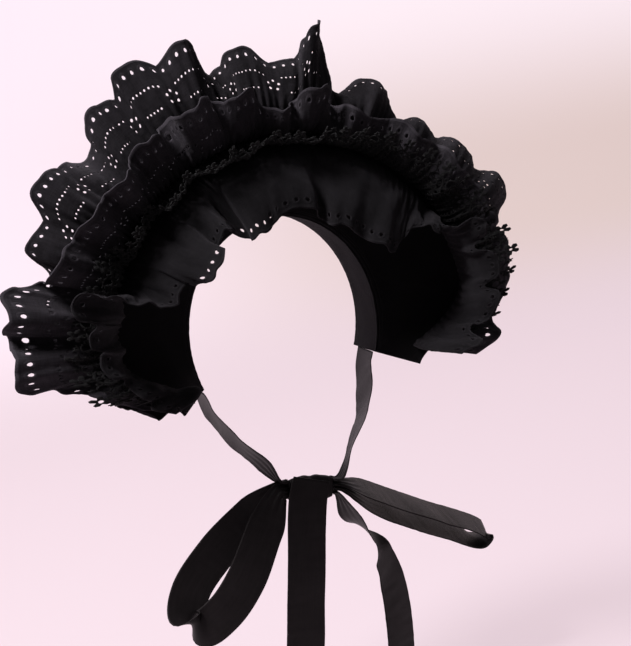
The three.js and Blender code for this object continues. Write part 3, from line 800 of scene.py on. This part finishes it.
def bend(bm, place, ripple):
    lay_uv(bm, lambda co: co.xy)
    flat = [v.co.copy() for v in bm.verts]
    for vertex in bm.verts:
        vertex.co = place(vertex.co.x, vertex.co.y)
    bm.normal_update()
    shifts = [v.normal * ripple(at.x, at.y) for v, at in zip(bm.verts, flat)]
    for vertex, shift in zip(bm.verts, shifts):
        vertex.co += shift


def object_of(bm, name, material):
    """The mesh as an object of its own in the scene."""
    mesh = bpy.data.meshes.new(name)
    bm.to_mesh(mesh)
    bm.free()
    mesh.materials.append(material)
    made = bpy.data.objects.new(name, mesh)
    scene.collection.objects.link(made)
    return made


def finished(bm, name, material, node, wall=None, edge=1.0):
    """An object with a cloth's wall, which rides on the bonnet and stands for a solid.

    The wall is edge times as thick along every open edge as it is elsewhere."""
    layer = bm.verts.layers.deform.verify()
    for vertex in bm.verts:
        vertex[layer][0] = 1.0 if vertex.is_boundary else 0.0
    piece = object_of(bm, name, material)
    if wall:
        piece.vertex_groups.new(name="edge")
        thick = piece.modifiers.new("Wall", "SOLIDIFY")
        thick.thickness = wall * edge
        thick.offset = 0
        thick.vertex_group = "edge"
        thick.thickness_vertex_group = 1 / edge
    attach(piece, "root")
    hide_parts(node)
    return piece


def noise_at(x, y, seed):
    return noise.noise(Vector((x, y, seed)))


def folded(along, across, fold, seed):
    """Uneven folds, whose width along the cloth and length across it are given together."""
    return noise_at(along / fold[0], across / fold[1], seed)


def ruffle_ripple(ruffle, hem, angle):
    span = abs(ruffle.folds[-1].at - ruffle.folds[0].at)
    seed = ruffle.seed

    def ripple(along, across):
        round_head = angle(along / hem.length) / span
        wander = WANDER * noise_at(round_head * WANDER_RATE, 0, seed)
        wave = math.sin(2 * math.pi * (ruffle.gathers * round_head + wander))
        uneven = 1 + UNEVEN * noise_at(round_head * UNEVEN_RATE, 0, seed + 3)
        fade = GATHER_FADE * (1 + FADE_CHANGE * noise_at(round_head * FADE_RATE, 0, seed + 4))
        gather = ruffle.gathered * uneven * wave * smoothstep(across, 0, GATHER_FROM)
        gather *= math.exp(-((across / fade) ** 2))
        free = smoothstep(across, SOFT_FROM, SOFT_FULL * ruffle.reach)
        soft = ruffle.soft * folded(along, across, SOFT_FOLD, seed + 5) * free
        fine = FINE_SHARE * ruffle.soft * folded(along, across, FINE_FOLD, seed + 11) * free
        crumple = CRUMPLE * folded(along, across, CRUMPLE_FOLD, seed + 17)
        return gather + soft + fine + crumple

    return ripple


# %% [markdown]
# The three cotton ruffles are made alike, from folds, seams and sizes of their own. The back one stands up
# behind the others, has the deepest scallops and shows its eyelets against the light.

# %% The three cotton ruffles
CLOTH_WALL = 0.0006
HEM_FULLNESS = 1.7

# The shades paint light and shade into each ruffle's cotton: the back one a little paler, as painted light
# through its single layer, the middle one much paler where its folds face the window, and the front one dark,
# as painted shade under the ruffles above it.
COTTON_RUFFLES = [
    Ruffle(
        name="back_ruffle", folds=BACK_FOLDS, seed=3.0, inset=0, reach=0.096, leave=0.040,
        gathers=105, gathered=0.0025, soft=0.0060, depth=SCALLOP_DEPTH, shade=1.1, flowered=True,
    ),
    Ruffle(
        name="middle_ruffle", folds=MIDDLE_FOLDS, seed=31.0, inset=0.005, reach=0.092, leave=0.024,
        gathers=118, gathered=0.0025, soft=0.0080, shade=1.7, flowered=True,
    ),
    Ruffle(
        name="front_ruffle", folds=FRONT_FOLDS, seed=57.0, inset=0.018, reach=0.104, leave=0.046,
        gathers=96, gathered=0.0013, soft=0.0105, shade=0.42,
    ),
]


def add_cotton_ruffle(ruffle):
    hem = hem_line(ruffle)
    scallops = round(hem.length / ruffle.pitch)
    place, angle, cut, area, width = bent(ruffle, hem, scallops)
    bm, holes = eyelet_cloth(hem.length, ruffle.reach, scallops, cut, ruffle.flowered)
    bend(bm, place, ruffle_ripple(ruffle, hem, angle))
    step = hem.length / (SCALLOP_CELLS * scallops)
    # The ruffle's shade paints its light and shade into its own copy of the cotton.
    finish = cotton(ruffle.name + " cotton", *cotton_in_painted_light_and_shade(ruffle.shade), hem=ruffle.reach, step=step)
    piece = finished(bm, ruffle.name + "_cloth", finish, ruffle.name, CLOTH_WALL, HEM_FULLNESS)
    print(f"{piece.name}: cut {width:.3f} x {hem.length:.3f} m, {scallops} scallops, {holes} eyelets")


for ruffle in COTTON_RUFFLES:
    add_cotton_ruffle(ruffle)

# %% [markdown]
# The band and the brim are plain cotton, made double over a stiffener, so they keep their curve.

# %% The band and the brim
STITCH_IN = 0.004
# The band and the brim have their cotton darkened to a quarter, as painted shade.
PLAIN_PAINTED_SHADE = 0.25
PLAIN_SOFT = 0.0007
SEAM_PUCKER = 0.0003
PUCKER_FADE = 0.006
BAND_CELLS = (200, 22)
BRIM_CELLS = (320, 36)
WALL_SHARE = 0.9


def along_arch(radius):
    steps = 240
    angles = [blend(-BAND_REACH, BAND_REACH, i / steps) for i in range(steps + 1)]
    points = [arch_point(at, radius(at), 0) for at in angles]
    return sum((b - a).length for a, b in zip(points, points[1:]))


def add_plain(name, cells, width, place, wall, length):
    bm = flat_grid(length, width, *cells)

    def pucker(along, across):
        edge = min(across, width - across)
        near_seam = math.exp(-((edge / PUCKER_FADE) ** 2))
        soft = PLAIN_SOFT * folded(along, across, (0.03, 0.02), seed=71) * smoothstep(edge, 0, STITCH_IN)
        return soft + SEAM_PUCKER * near_seam * folded(along, across, (0.004, 0.01), seed=73)

    bend(bm, lambda along, across: place(along / length, across / width), pucker)
    finish = cotton(name + " cotton", *cotton_in_painted_light_and_shade(PLAIN_PAINTED_SHADE), rows=[STITCH_IN, width - STITCH_IN])
    piece = finished(bm, name + "_cloth", finish, name, wall * WALL_SHARE)
    print(f"{piece.name}: {length:.3f} x {width:.3f} m")


def band_place(u, v):
    at = blend(-BAND_REACH, BAND_REACH, u)
    return arch_point(at, band_radius(at) + BAND_WALL / 2, BAND_DEPTH * (v - 0.5))


def brim_place(u, v):
    at = blend(-BAND_REACH, BAND_REACH, u)
    foot, rim, _ = brim_section(at)
    return arch_point(at, *foot.lerp(rim, v))


band_length = along_arch(lambda at: band_radius(at) + BAND_WALL / 2)
brim_foot, brim_rim, _ = brim_section(0)
rim_length = along_arch(rim_radius)
brim_width = (brim_rim - brim_foot).length
add_plain("band", BAND_CELLS, BAND_DEPTH, band_place, BAND_WALL, band_length)
add_plain("brim", BRIM_CELLS, brim_width, brim_place, BRIM_WALL, rim_length)

# %% [markdown]
# The lace is of the heavy kind whose ground cloth is dissolved away, so only thread is left: a net of small
# round openings by the seam, then arches, rings and star drops along its edge. One repeat is laid out flat
# from rings and pulled circles, copied along the length, and the whole strip is bent as the ruffles are.

# %% Flat lace
LACE_REPEAT = 0.02405
LACE_WALL = 0.0009
THREAD_SHARE = 0.8
NET_HEIGHT = 0.034
NET_ROWS = 7
NET_CELLS_PER_REPEAT = 5
NET_THREAD = 0.0010
ROSE_UP = 0.0365
PICOTS_OUT = 0.0112
BEADS_OUT = 0.006


def ring(bm, x, y, outer, inner, segments, pull=None):
    """A flat ring of thread. pull gives each outer corner's distance as a share of the outer radius."""
    rim = bmesh.ops.create_circle(bm, segments=segments, radius=outer)["verts"]
    edges = list(dict.fromkeys(edge for vertex in rim for edge in vertex.link_edges))
    grown = bmesh.ops.extrude_edge_only(bm, edges=edges)["geom"]
    inside = only(VERTEX, grown)
    bmesh.ops.scale(bm, vec=(inner / outer, inner / outer, 1), verts=inside)
    if pull:
        for i, vertex in enumerate(rim):
            vertex.co *= pull[i % len(pull)]
    bmesh.ops.translate(bm, vec=(x, y, 0), verts=rim + inside)


def lace_repeat():
    """One repeat of the lace's edge. y runs from the seam to the tips of its drops."""
    bm = bmesh.new()
    half = LACE_REPEAT / 2

    def round_rose(turns, out, **sizes):
        for turn in turns:
            angle = math.radians(turn)
            ring(bm, half + out * math.sin(angle), ROSE_UP + out * math.cos(angle), segments=8, **sizes)

    ring(bm, half, ROSE_UP, outer=0.0098, inner=0.0078, segments=20)
    ring(bm, half, ROSE_UP, outer=0.0042, inner=0.0022, segments=12)
    round_rose((-70, -35, 0, 35, 70), PICOTS_OUT, outer=0.0023, inner=0.0012)
    round_rose(range(0, 360, 60), BEADS_OUT, outer=0.0021, inner=0.0009)
    ring(bm, half, 0.0534, outer=0.0066, inner=0.0014, segments=20, pull=(0.42, 0.86, 1.0, 0.86))
    ring(bm, 0, 0.0455, outer=0.0047, inner=0.0036, segments=16)
    ring(bm, 0, 0.0375, outer=0.0038, inner=0.0018, segments=12)
    ring(bm, 0, 0.0525, outer=0.0030, inner=0.0006, segments=12, pull=(0.5, 1.0))
    return bm


def lace_net(length, repeats):
    """A net of small round openings: a grid whose faces are inset, and their middles taken out."""
    net = flat_grid(length, NET_HEIGHT, repeats * NET_CELLS_PER_REPEAT, NET_ROWS)
    cells = list(net.faces)
    bmesh.ops.inset_individual(net, faces=cells, thickness=NET_THREAD, depth=0)
    bmesh.ops.delete(net, geom=cells, context="FACES")
    return rounded(net)


def lace_cloth(length, repeats):
    """The whole flat frill, with its edge copied along the net."""
    bm = lace_net(length, repeats)
    one = bpy.data.meshes.new("lace repeat")
    motif = lace_repeat()
    motif.to_mesh(one)
    motif.free()
    for i in range(repeats):
        before = len(bm.verts)
        bm.from_mesh(one)
        bm.verts.ensure_lookup_table()
        bmesh.ops.translate(bm, vec=(length / repeats * i, 0, 0), verts=bm.verts[before:])
    bpy.data.meshes.remove(one)
    return bm


lace = Ruffle(
    name="lace_frill", folds=LACE_FOLDS, seed=83.0, inset=0.011, reach=0.060, leave=0.036,
    gathers=90, gathered=0.0018, soft=0.0090, pitch=0.024, depth=0.0,
)


def add_lace():
    hem = hem_line(lace)
    repeats = round(hem.length / lace.pitch)
    bm = lace_cloth(hem.length, repeats)
    place, angle, _, area, width = bent(lace, hem, repeats)
    bend(bm, place, ruffle_ripple(lace, hem, angle))
    piece = finished(bm, "lace_frill_thread", lace_finish, "lace_frill", LACE_WALL)
    area * THREAD_SHARE
    print(f"{piece.name}: cut {width:.3f} x {hem.length:.3f} m, {repeats} repeats")


add_lace()

# %% [markdown]
# The ribbon is laid along a smooth line, as wide as it is cut except where it is drawn into the knot. There
# its spare width stands in pleats, which open out as the ribbon does. Each row of a ribbon's table is a
# place as shares of its length, its width as a share of the ribbon's, and the turn of its width in degrees.
# A row that gives no width or turn has the whole width, and no turn.

# %% A ribbon along a line
RIBBON_WALL = 0.0005
SELVEDGE_FULLNESS = 1.5
RIBBON_CELL = 0.0022
CELLS_ACROSS_RIBBON = 18
PLEATS_IN_RIBBON = 3.5
PLEAT_HEIGHT = 0.0022
PLEAT_OPENING = 1.3
CUP = 0.0006
RIBBON_SOFT = 0.0010
CREASE = 0.0003

Row = namedtuple("Row", "x y z wide turn", defaults=(1, 0))


def row_value(rows, position, column):
    i = min(int(position), len(rows) - 2)
    low, high = getattr(rows[i], column), getattr(rows[i + 1], column)
    return blend(low, high, smoothstep(position - i, 0, 1))


def ribbon_place(points, width_way, rows):
    line = Line(points)

    def place(u, v):
        position = line.step(u) / Line.STEPS
        heading = line.heading(u)
        side = (width_way - heading * heading.dot(width_way)).normalized()
        side.rotate(Matrix.Rotation(math.radians(row_value(rows, position, "turn")), 3, heading))
        return line.at(u) + side * ((v - 0.5) * RIBBON_WIDTH * row_value(rows, position, "wide"))

    def narrow(u):
        return 1 - min(row_value(rows, line.step(u) / Line.STEPS, "wide"), 1)

    return place, narrow, line.length


def add_ribbon(name, points, width_way, rows, seed):
    place, narrow, length = ribbon_place(points, width_way, rows)
    bm = flat_grid(length, RIBBON_WIDTH, round(length / RIBBON_CELL), CELLS_ACROSS_RIBBON)

    def ripple(along, across):
        v = across / RIBBON_WIDTH
        pleat = math.cos(2 * math.pi * PLEATS_IN_RIBBON * v) * PLEAT_HEIGHT
        pleat *= narrow(along / length) ** PLEAT_OPENING
        cup = CUP * (1 - (2 * v - 1) ** 2)
        soft = RIBBON_SOFT * folded(along, across, (0.035, 0.05), seed)
        crease = CREASE * folded(along, across, (0.006, 0.03), seed + 7)
        return pleat + cup + soft + crease

    bend(bm, lambda along, across: place(along / length, across / RIBBON_WIDTH), ripple)
    piece = finished(bm, name + "_ribbon", satin_finish, name, RIBBON_WALL, SELVEDGE_FULLNESS)
    print(f"{piece.name}: {length:.3f} m long")


# %% [markdown]
# The two ties come down from the ends of the band and meet in the knot under the chin, so that they close
# the loop that holds the bonnet on. They are cut from the same ribbon as the bow.

# %% The two ties
CHIN_DROP = 0.262
KNOT_FORWARD = 0.055
KNOT_ASIDE = 0.008
KNOT_TILT = math.radians(9)
KNOT_WIDTH = 0.044
KNOT_HEIGHT = 0.027
KNOT_THICKNESS = 0.017
STRAIGHT_AT_KNOT = 0.008
TIE_RAISED = 0.008
TIE_SEED = 90
BACKWARD = Vector((0, 1, 0))
KNOT = Vector((-KNOT_ASIDE, -KNOT_FORWARD, -CHIN_DROP))
KNOT_ACROSS = Vector((math.cos(KNOT_TILT), 0, -math.sin(KNOT_TILT)))
KNOT_UP = Vector((math.sin(KNOT_TILT), 0, math.cos(KNOT_TILT)))

TieRow = namedtuple("TieRow", "along out forward turn wide")

TIE_ROWS = [
    TieRow(along=0, out=0, forward=0, turn=0, wide=1),
    TieRow(along=0.08, out=0, forward=0, turn=0, wide=1),
    TieRow(along=0.3, out=0.08, forward=-0.03, turn=4, wide=1),
    TieRow(along=0.55, out=0.1, forward=0.02, turn=14, wide=1),
    TieRow(along=0.78, out=0.06, forward=0.04, turn=20, wide=0.8),
    TieRow(along=0.95, out=0.02, forward=0, turn=6, wide=0.45),
    TieRow(along=1, out=0, forward=0, turn=0, wide=0.34),
]


def knot_end(way, back, raised):
    return KNOT + KNOT_ACROSS * way * (KNOT_WIDTH / 2 + SEAM_GAP) + BACKWARD * back + KNOT_UP * raised


def add_tie(name, way):
    def edge(at):
        return arch_point(at, band_radius(at) + BAND_WALL / 2, 0)

    start = edge(way * BAND_REACH)
    down = (start - edge(way * (BAND_REACH - 1))).normalized()
    start += down * SEAM_GAP
    end = knot_end(way, 0, TIE_RAISED)
    span = end - start
    bows = [span.length * Vector((way * row.out, -row.forward, 0)) for row in TIE_ROWS]
    points = [start + row.along * span + bow for row, bow in zip(TIE_ROWS, bows)]
    points[1] = start + down * TIE_ROWS[1].along * span.length
    points[-2] = end + KNOT_ACROSS * way * STRAIGHT_AT_KNOT
    rows = [Row(x=0, y=0, z=0, wide=row.wide, turn=way * row.turn) for row in TIE_ROWS]
    add_ribbon(name, points, BACKWARD, rows, TIE_SEED + 4 * way)


add_tie("tie_right", -1)
add_tie("tie_left", 1)

# %% [markdown]
# Each loop leaves the knot, goes out and down, turns back on itself, and comes home beside where it left. The
# left one is longer and is pulled almost flat. The places in the tables are shares of a loop's length.

# %% The rows of the bow's loops
LOOP_LENGTH = 0.172
LONG_LOOP_LENGTH = 0.222
ACROSS_RIGHT_LOOP = Vector((0.51, -0.33, -0.78))
ACROSS_LEFT_LOOP = Vector((0.377, 0.913, 0.127))

RIGHT_LOOP_ROWS = [
    Row(x=0, y=0, z=0, wide=0.34),
    Row(x=-0.05, y=0, z=0.008, wide=0.5),
    Row(x=-0.17, y=0, z=-0.18, wide=0.95),
    Row(x=-0.33, y=-0.02, z=-0.43),
    Row(x=-0.47, y=0.01, z=-0.59),
    Row(x=-0.6, y=0.07, z=-0.67),
    Row(x=-0.65, y=0.13, z=-0.61),
    Row(x=-0.6, y=0.17, z=-0.48),
    Row(x=-0.42, y=0.18, z=-0.3),
    Row(x=-0.2, y=0.12, z=-0.11, wide=0.9),
    Row(x=-0.05, y=0.026, z=0.008, wide=0.5),
    Row(x=0, y=0.024, z=0, wide=0.34),
]

LEFT_LOOP_ROWS = [
    Row(x=0, y=0, z=0, wide=0.34),
    Row(x=0.04, y=0, z=-0.006, wide=0.5),
    Row(x=0.18, y=0.03, z=-0.08),
    Row(x=0.34, y=0.07, z=-0.18),
    Row(x=0.55, y=0.12, z=-0.305),
    Row(x=0.76, y=0.18, z=-0.43),
    Row(x=0.8, y=0.19, z=-0.475),
    Row(x=0.75, y=0.18, z=-0.49),
    Row(x=0.55, y=0.12, z=-0.38),
    Row(x=0.33, y=0.06, z=-0.25),
    Row(x=0.17, y=0.02, z=-0.14, wide=0.9),
    Row(x=0.04, y=0, z=-0.024, wide=0.5),
    Row(x=0, y=0, z=-0.018, wide=0.34),
]

# %% [markdown]
# The front tail comes over the knot and hangs straight down. The side tail leaves the knot's side, swings out
# and twists as it falls.

# %% The rows of the tails
TAIL_LENGTH = 0.214
SIDE_TAIL_LENGTH = 0.236
ACROSS_FRONT = Vector((1, 0, 0))

FRONT_TAIL_ROWS = [
    Row(x=0, y=0, z=0),
    Row(x=-0.03, y=0, z=-0.08, wide=1.04),
    Row(x=-0.08, y=0, z=-0.37, wide=1.02),
    Row(x=-0.135, y=0.03, z=-0.78, wide=1.04),
    Row(x=-0.165, y=0.05, z=-0.99, wide=1.04),
]

SIDE_TAIL_ROWS = [
    Row(x=0, y=0, z=0, wide=0.34),
    Row(x=0.02, y=0, z=-0.0032, wide=0.45),
    Row(x=0.065, y=-0.01, z=-0.12, wide=0.9, turn=-20),
    Row(x=0.137, y=-0.01, z=-0.215, turn=10),
    Row(x=0.195, y=0.01, z=-0.333, turn=50),
    Row(x=0.227, y=0.03, z=-0.467, turn=62),
    Row(x=0.236, y=0.035, z=-0.63, turn=66),
    Row(x=0.228, y=0.04, z=-0.795, turn=68),
    Row(x=0.215, y=0.05, z=-0.95, turn=68),
]

# %% [markdown]
# All four start at the knot: at its two sides, or for the front tail just in front of it, so that each lies
# against the knot and none runs through it.

# %% The loops and tails
SOLID_KNOT_SIZE = 1.05
SOLID_RIBBON_WALL = 0.001
TAIL_BELOW_TOP = 0.002

over_knot = KNOT + Vector((0, 0, KNOT_HEIGHT / 2 - TAIL_BELOW_TOP))
over_knot.y -= (KNOT_THICKNESS * SOLID_KNOT_SIZE + SOLID_RIBBON_WALL) / 2 + SEAM_GAP
right_start = knot_end(-1, back=-0.003, raised=-0.001)
left_start = knot_end(1, back=0, raised=0.003)
side_start = knot_end(1, back=0, raised=-0.006)


def add_from_knot(name, start, length, width_way, rows, seed):
    points = [start + length * Vector((row.x, row.y, row.z)) for row in rows]
    add_ribbon(name, points, width_way, rows, seed)


add_from_knot("bow_loop_right", right_start, LOOP_LENGTH, ACROSS_RIGHT_LOOP, RIGHT_LOOP_ROWS, 110)
add_from_knot("bow_loop_left", left_start, LONG_LOOP_LENGTH, ACROSS_LEFT_LOOP, LEFT_LOOP_ROWS, 119)
add_from_knot("tail_front", over_knot, TAIL_LENGTH, ACROSS_FRONT, FRONT_TAIL_ROWS, 128)
add_from_knot("tail_side", side_start, SIDE_TAIL_LENGTH, BACKWARD, SIDE_TAIL_ROWS, 137)

# %% [markdown]
# The knot is ribbon wrapped round the bow's middle. It starts as a plain drum on its side, cut into many
# rings, and each ring is drawn in or let out: the pleats of the wrap run round it. The middle of each end is
# sunk a little, as a mouth for the loops.

# %% The knot
KNOT_SIDES = 48
KNOT_CUTS = 30
KNOT_PLEATS = 3.5
PLEAT_SLANT = 0.12
KNOT_PLEAT_DEPTH = 0.09
KNOT_CREASE_DEPTH = 0.03
CAP_RINGS = 2
CAP_RING_WIDTH = 0.25
MOUTH_SUNK = 0.84
WRAP_RADIUS = 0.011

KnotRing = namedtuple("KnotRing", "along size")

KNOT_RINGS = [
    KnotRing(along=-0.5, size=0.7),
    KnotRing(along=-0.28, size=0.96),
    KnotRing(along=0, size=1),
    KnotRing(along=0.28, size=0.97),
    KnotRing(along=0.5, size=0.74),
]


def ring_size(along):
    for low, high in zip(KNOT_RINGS, KNOT_RINGS[1:]):
        if along <= high.along:
            return blend(low.size, high.size, (along - low.along) / (high.along - low.along))
    return KNOT_RINGS[-1].size


def add_knot():
    bm = bmesh.new()
    bmesh.ops.create_cone(bm, cap_ends=True, segments=KNOT_SIDES, radius1=1, radius2=1, depth=1)
    sides = [e for e in bm.edges if abs(e.verts[0].co.z - e.verts[1].co.z) > 0.5]
    bmesh.ops.subdivide_edges(bm, edges=sides, cuts=KNOT_CUTS, use_grid_fill=True)
    caps = [face for face in bm.faces if len(face.verts) > 4]
    for _ in range(CAP_RINGS):
        bmesh.ops.inset_region(bm, faces=caps, thickness=CAP_RING_WIDTH, depth=0, use_even_offset=False)
    mouth = {v for face in caps for v in face.verts}
    for vertex in bm.verts:
        along, turn = min(max(vertex.co.z, -0.5), 0.5), math.atan2(vertex.co.y, vertex.co.x)
        far = math.hypot(vertex.co.x, vertex.co.y)
        pleat = 0.5 + 0.5 * math.cos(2 * math.pi * (KNOT_PLEATS * along + PLEAT_SLANT * math.sin(turn)))
        crease = abs(noise_at(turn, along * 5, seed=41))
        slack = 1 - KNOT_PLEAT_DEPTH * pleat * (1 - 4 * along * along) - KNOT_CREASE_DEPTH * crease
        size = far * ring_size(along) * slack
        if vertex in mouth:
            along *= MOUTH_SUNK
        vertex.co = (
            KNOT
            + KNOT_ACROSS * along * KNOT_WIDTH
            + BACKWARD * (size * math.sin(turn) * KNOT_THICKNESS / 2)
            + KNOT_UP * (size * math.cos(turn) * KNOT_HEIGHT / 2)
        )

    def unwrapped(co):
        off = co - KNOT
        turn = math.atan2(off.dot(KNOT_UP), off.y)
        return turn * WRAP_RADIUS, off.dot(KNOT_ACROSS) + RIBBON_WIDTH / 2

    lay_uv(bm, unwrapped)
    bmesh.ops.recalc_face_normals(bm, faces=bm.faces)
    piece = finished(bm, "bow_knot_ribbon", satin_finish, "bow_knot")
    print(f"{piece.name}: {len(piece.data.polygons)} faces")


add_knot()

# %% [markdown]
# The wall and the floor are one sweep of pale paper. In the picture it goes from cool pink on the left to a
# warmer, duller tone on the right, where it lies in shade. Here the paper behind the bonnet glows with those
# colours, so its light and that shade are painted, since lamps bright enough to do it would light up the
# black cloth as well. The glow is dimmer down on the floor, and towards the camera it fades out.

# %% The studio
SWEEP_HALF_WIDTH = 5
SWEEP_HALF_DEPTH = 2.5
SWEEP_CURVE = 0.6
SWEEP_HEIGHT = 3
SWEEP_STEPS = 24
WALL_AWAY = 1.3
PAPER = (0.18, 0.16, 0.17, 1)
NO_GLOW = (0, 0, 0, 1)
GLOW_FLOOR = (0.66, 0.53, 0.58, 1)
GLOW_LEFT = (0.84, 0.70, 0.78, 1)
GLOW_TOP_RIGHT = (0.86, 0.75, 0.80, 1)
GLOW_RIGHT = (0.62, 0.49, 0.46, 1)
FLOOR = solid_box[0].z - 0.03
LIT_PLACE = Vector((0, 0, -0.05))
COOL = (1.0, 0.96, 0.98)
WARM = (1.0, 0.93, 0.92)
ROOM = (1.0, 0.93, 0.96, 1)
ROOM_STRENGTH = 0.12


def add_sweep():
    bm = bmesh.new()
    bmesh.ops.create_grid(bm, x_segments=1, y_segments=1, size=1)
    bmesh.ops.scale(bm, vec=(SWEEP_HALF_WIDTH, SWEEP_HALF_DEPTH, 1), verts=bm.verts)
    bmesh.ops.translate(bm, vec=(0, WALL_AWAY - SWEEP_HALF_DEPTH, FLOOR), verts=bm.verts)
    back = [edge for edge in bm.edges if all(abs(v.co.y - WALL_AWAY) < 1e-4 for v in edge.verts)]
    turned = bmesh.ops.spin(
        bm,
        geom=back,
        cent=(0, WALL_AWAY, FLOOR + SWEEP_CURVE),
        axis=(1, 0, 0),
        angle=math.radians(90),
        steps=SWEEP_STEPS,
    )["geom_last"]
    raised = bmesh.ops.extrude_edge_only(bm, edges=only(EDGE, turned))["geom"]
    bmesh.ops.translate(bm, vec=(0, 0, SWEEP_HEIGHT), verts=only(VERTEX, raised))
    for face in bm.faces:
        face.smooth = True
    bmesh.ops.recalc_face_normals(bm, faces=bm.faces)
    paper = Finish("pale paper", Roughness=0.95, Specular_IOR_Level=0.1, Emission_Strength=1.0)
    paper.surface.inputs["Base Color"].default_value = PAPER
    _, (x, y, z) = paper.places("Object")
    # The glow is painted light; its duller right side is painted shade, and it is dimmer at the floor.
    right = z.ramp(-0.15, 0.3).mix(GLOW_RIGHT, GLOW_TOP_RIGHT)
    wall = x.ramp(-0.1, 1.1).mix(GLOW_LEFT, right)
    glow = z.ramp(FLOOR, FLOOR + 0.25).mix(GLOW_FLOOR, wall)
    paper.wire("Emission Color", y.ramp(-0.5, -0.15).mix(NO_GLOW, glow))
    object_of(bm, "sweep", paper.material)


def add_light(name, place, size, watts, tint):
    lamp = bpy.data.lights.new(name, "AREA")
    lamp.shape = "DISK"
    lamp.size = size
    lamp.energy = watts
    lamp.color = tint
    light = bpy.data.objects.new(name, lamp)
    light.location = place
    light.rotation_euler = (LIT_PLACE - Vector(place)).to_track_quat("-Z", "Y").to_euler()
    scene.collection.objects.link(light)


add_sweep()
add_light("window", place=(-1.5, -0.55, 1.9), size=0.8, watts=105, tint=COOL)
add_light("fill", place=(1.4, -1.8, 0.6), size=1.6, watts=1.2, tint=WARM)
add_light("top", place=(-0.4, 0.6, 1.8), size=1.2, watts=18, tint=COOL)
world = bpy.data.worlds.new("room")
world.use_nodes = True
background = world.node_tree.nodes["Background"].inputs
background["Color"].default_value = ROOM
background["Strength"].default_value = ROOM_STRENGTH
scene.world = world
scene.view_settings.view_transform = "Standard"
scene.view_settings.look = "None"
print("lights:", ", ".join(sorted(thing.name for thing in scene.objects if thing.type == "LIGHT")))
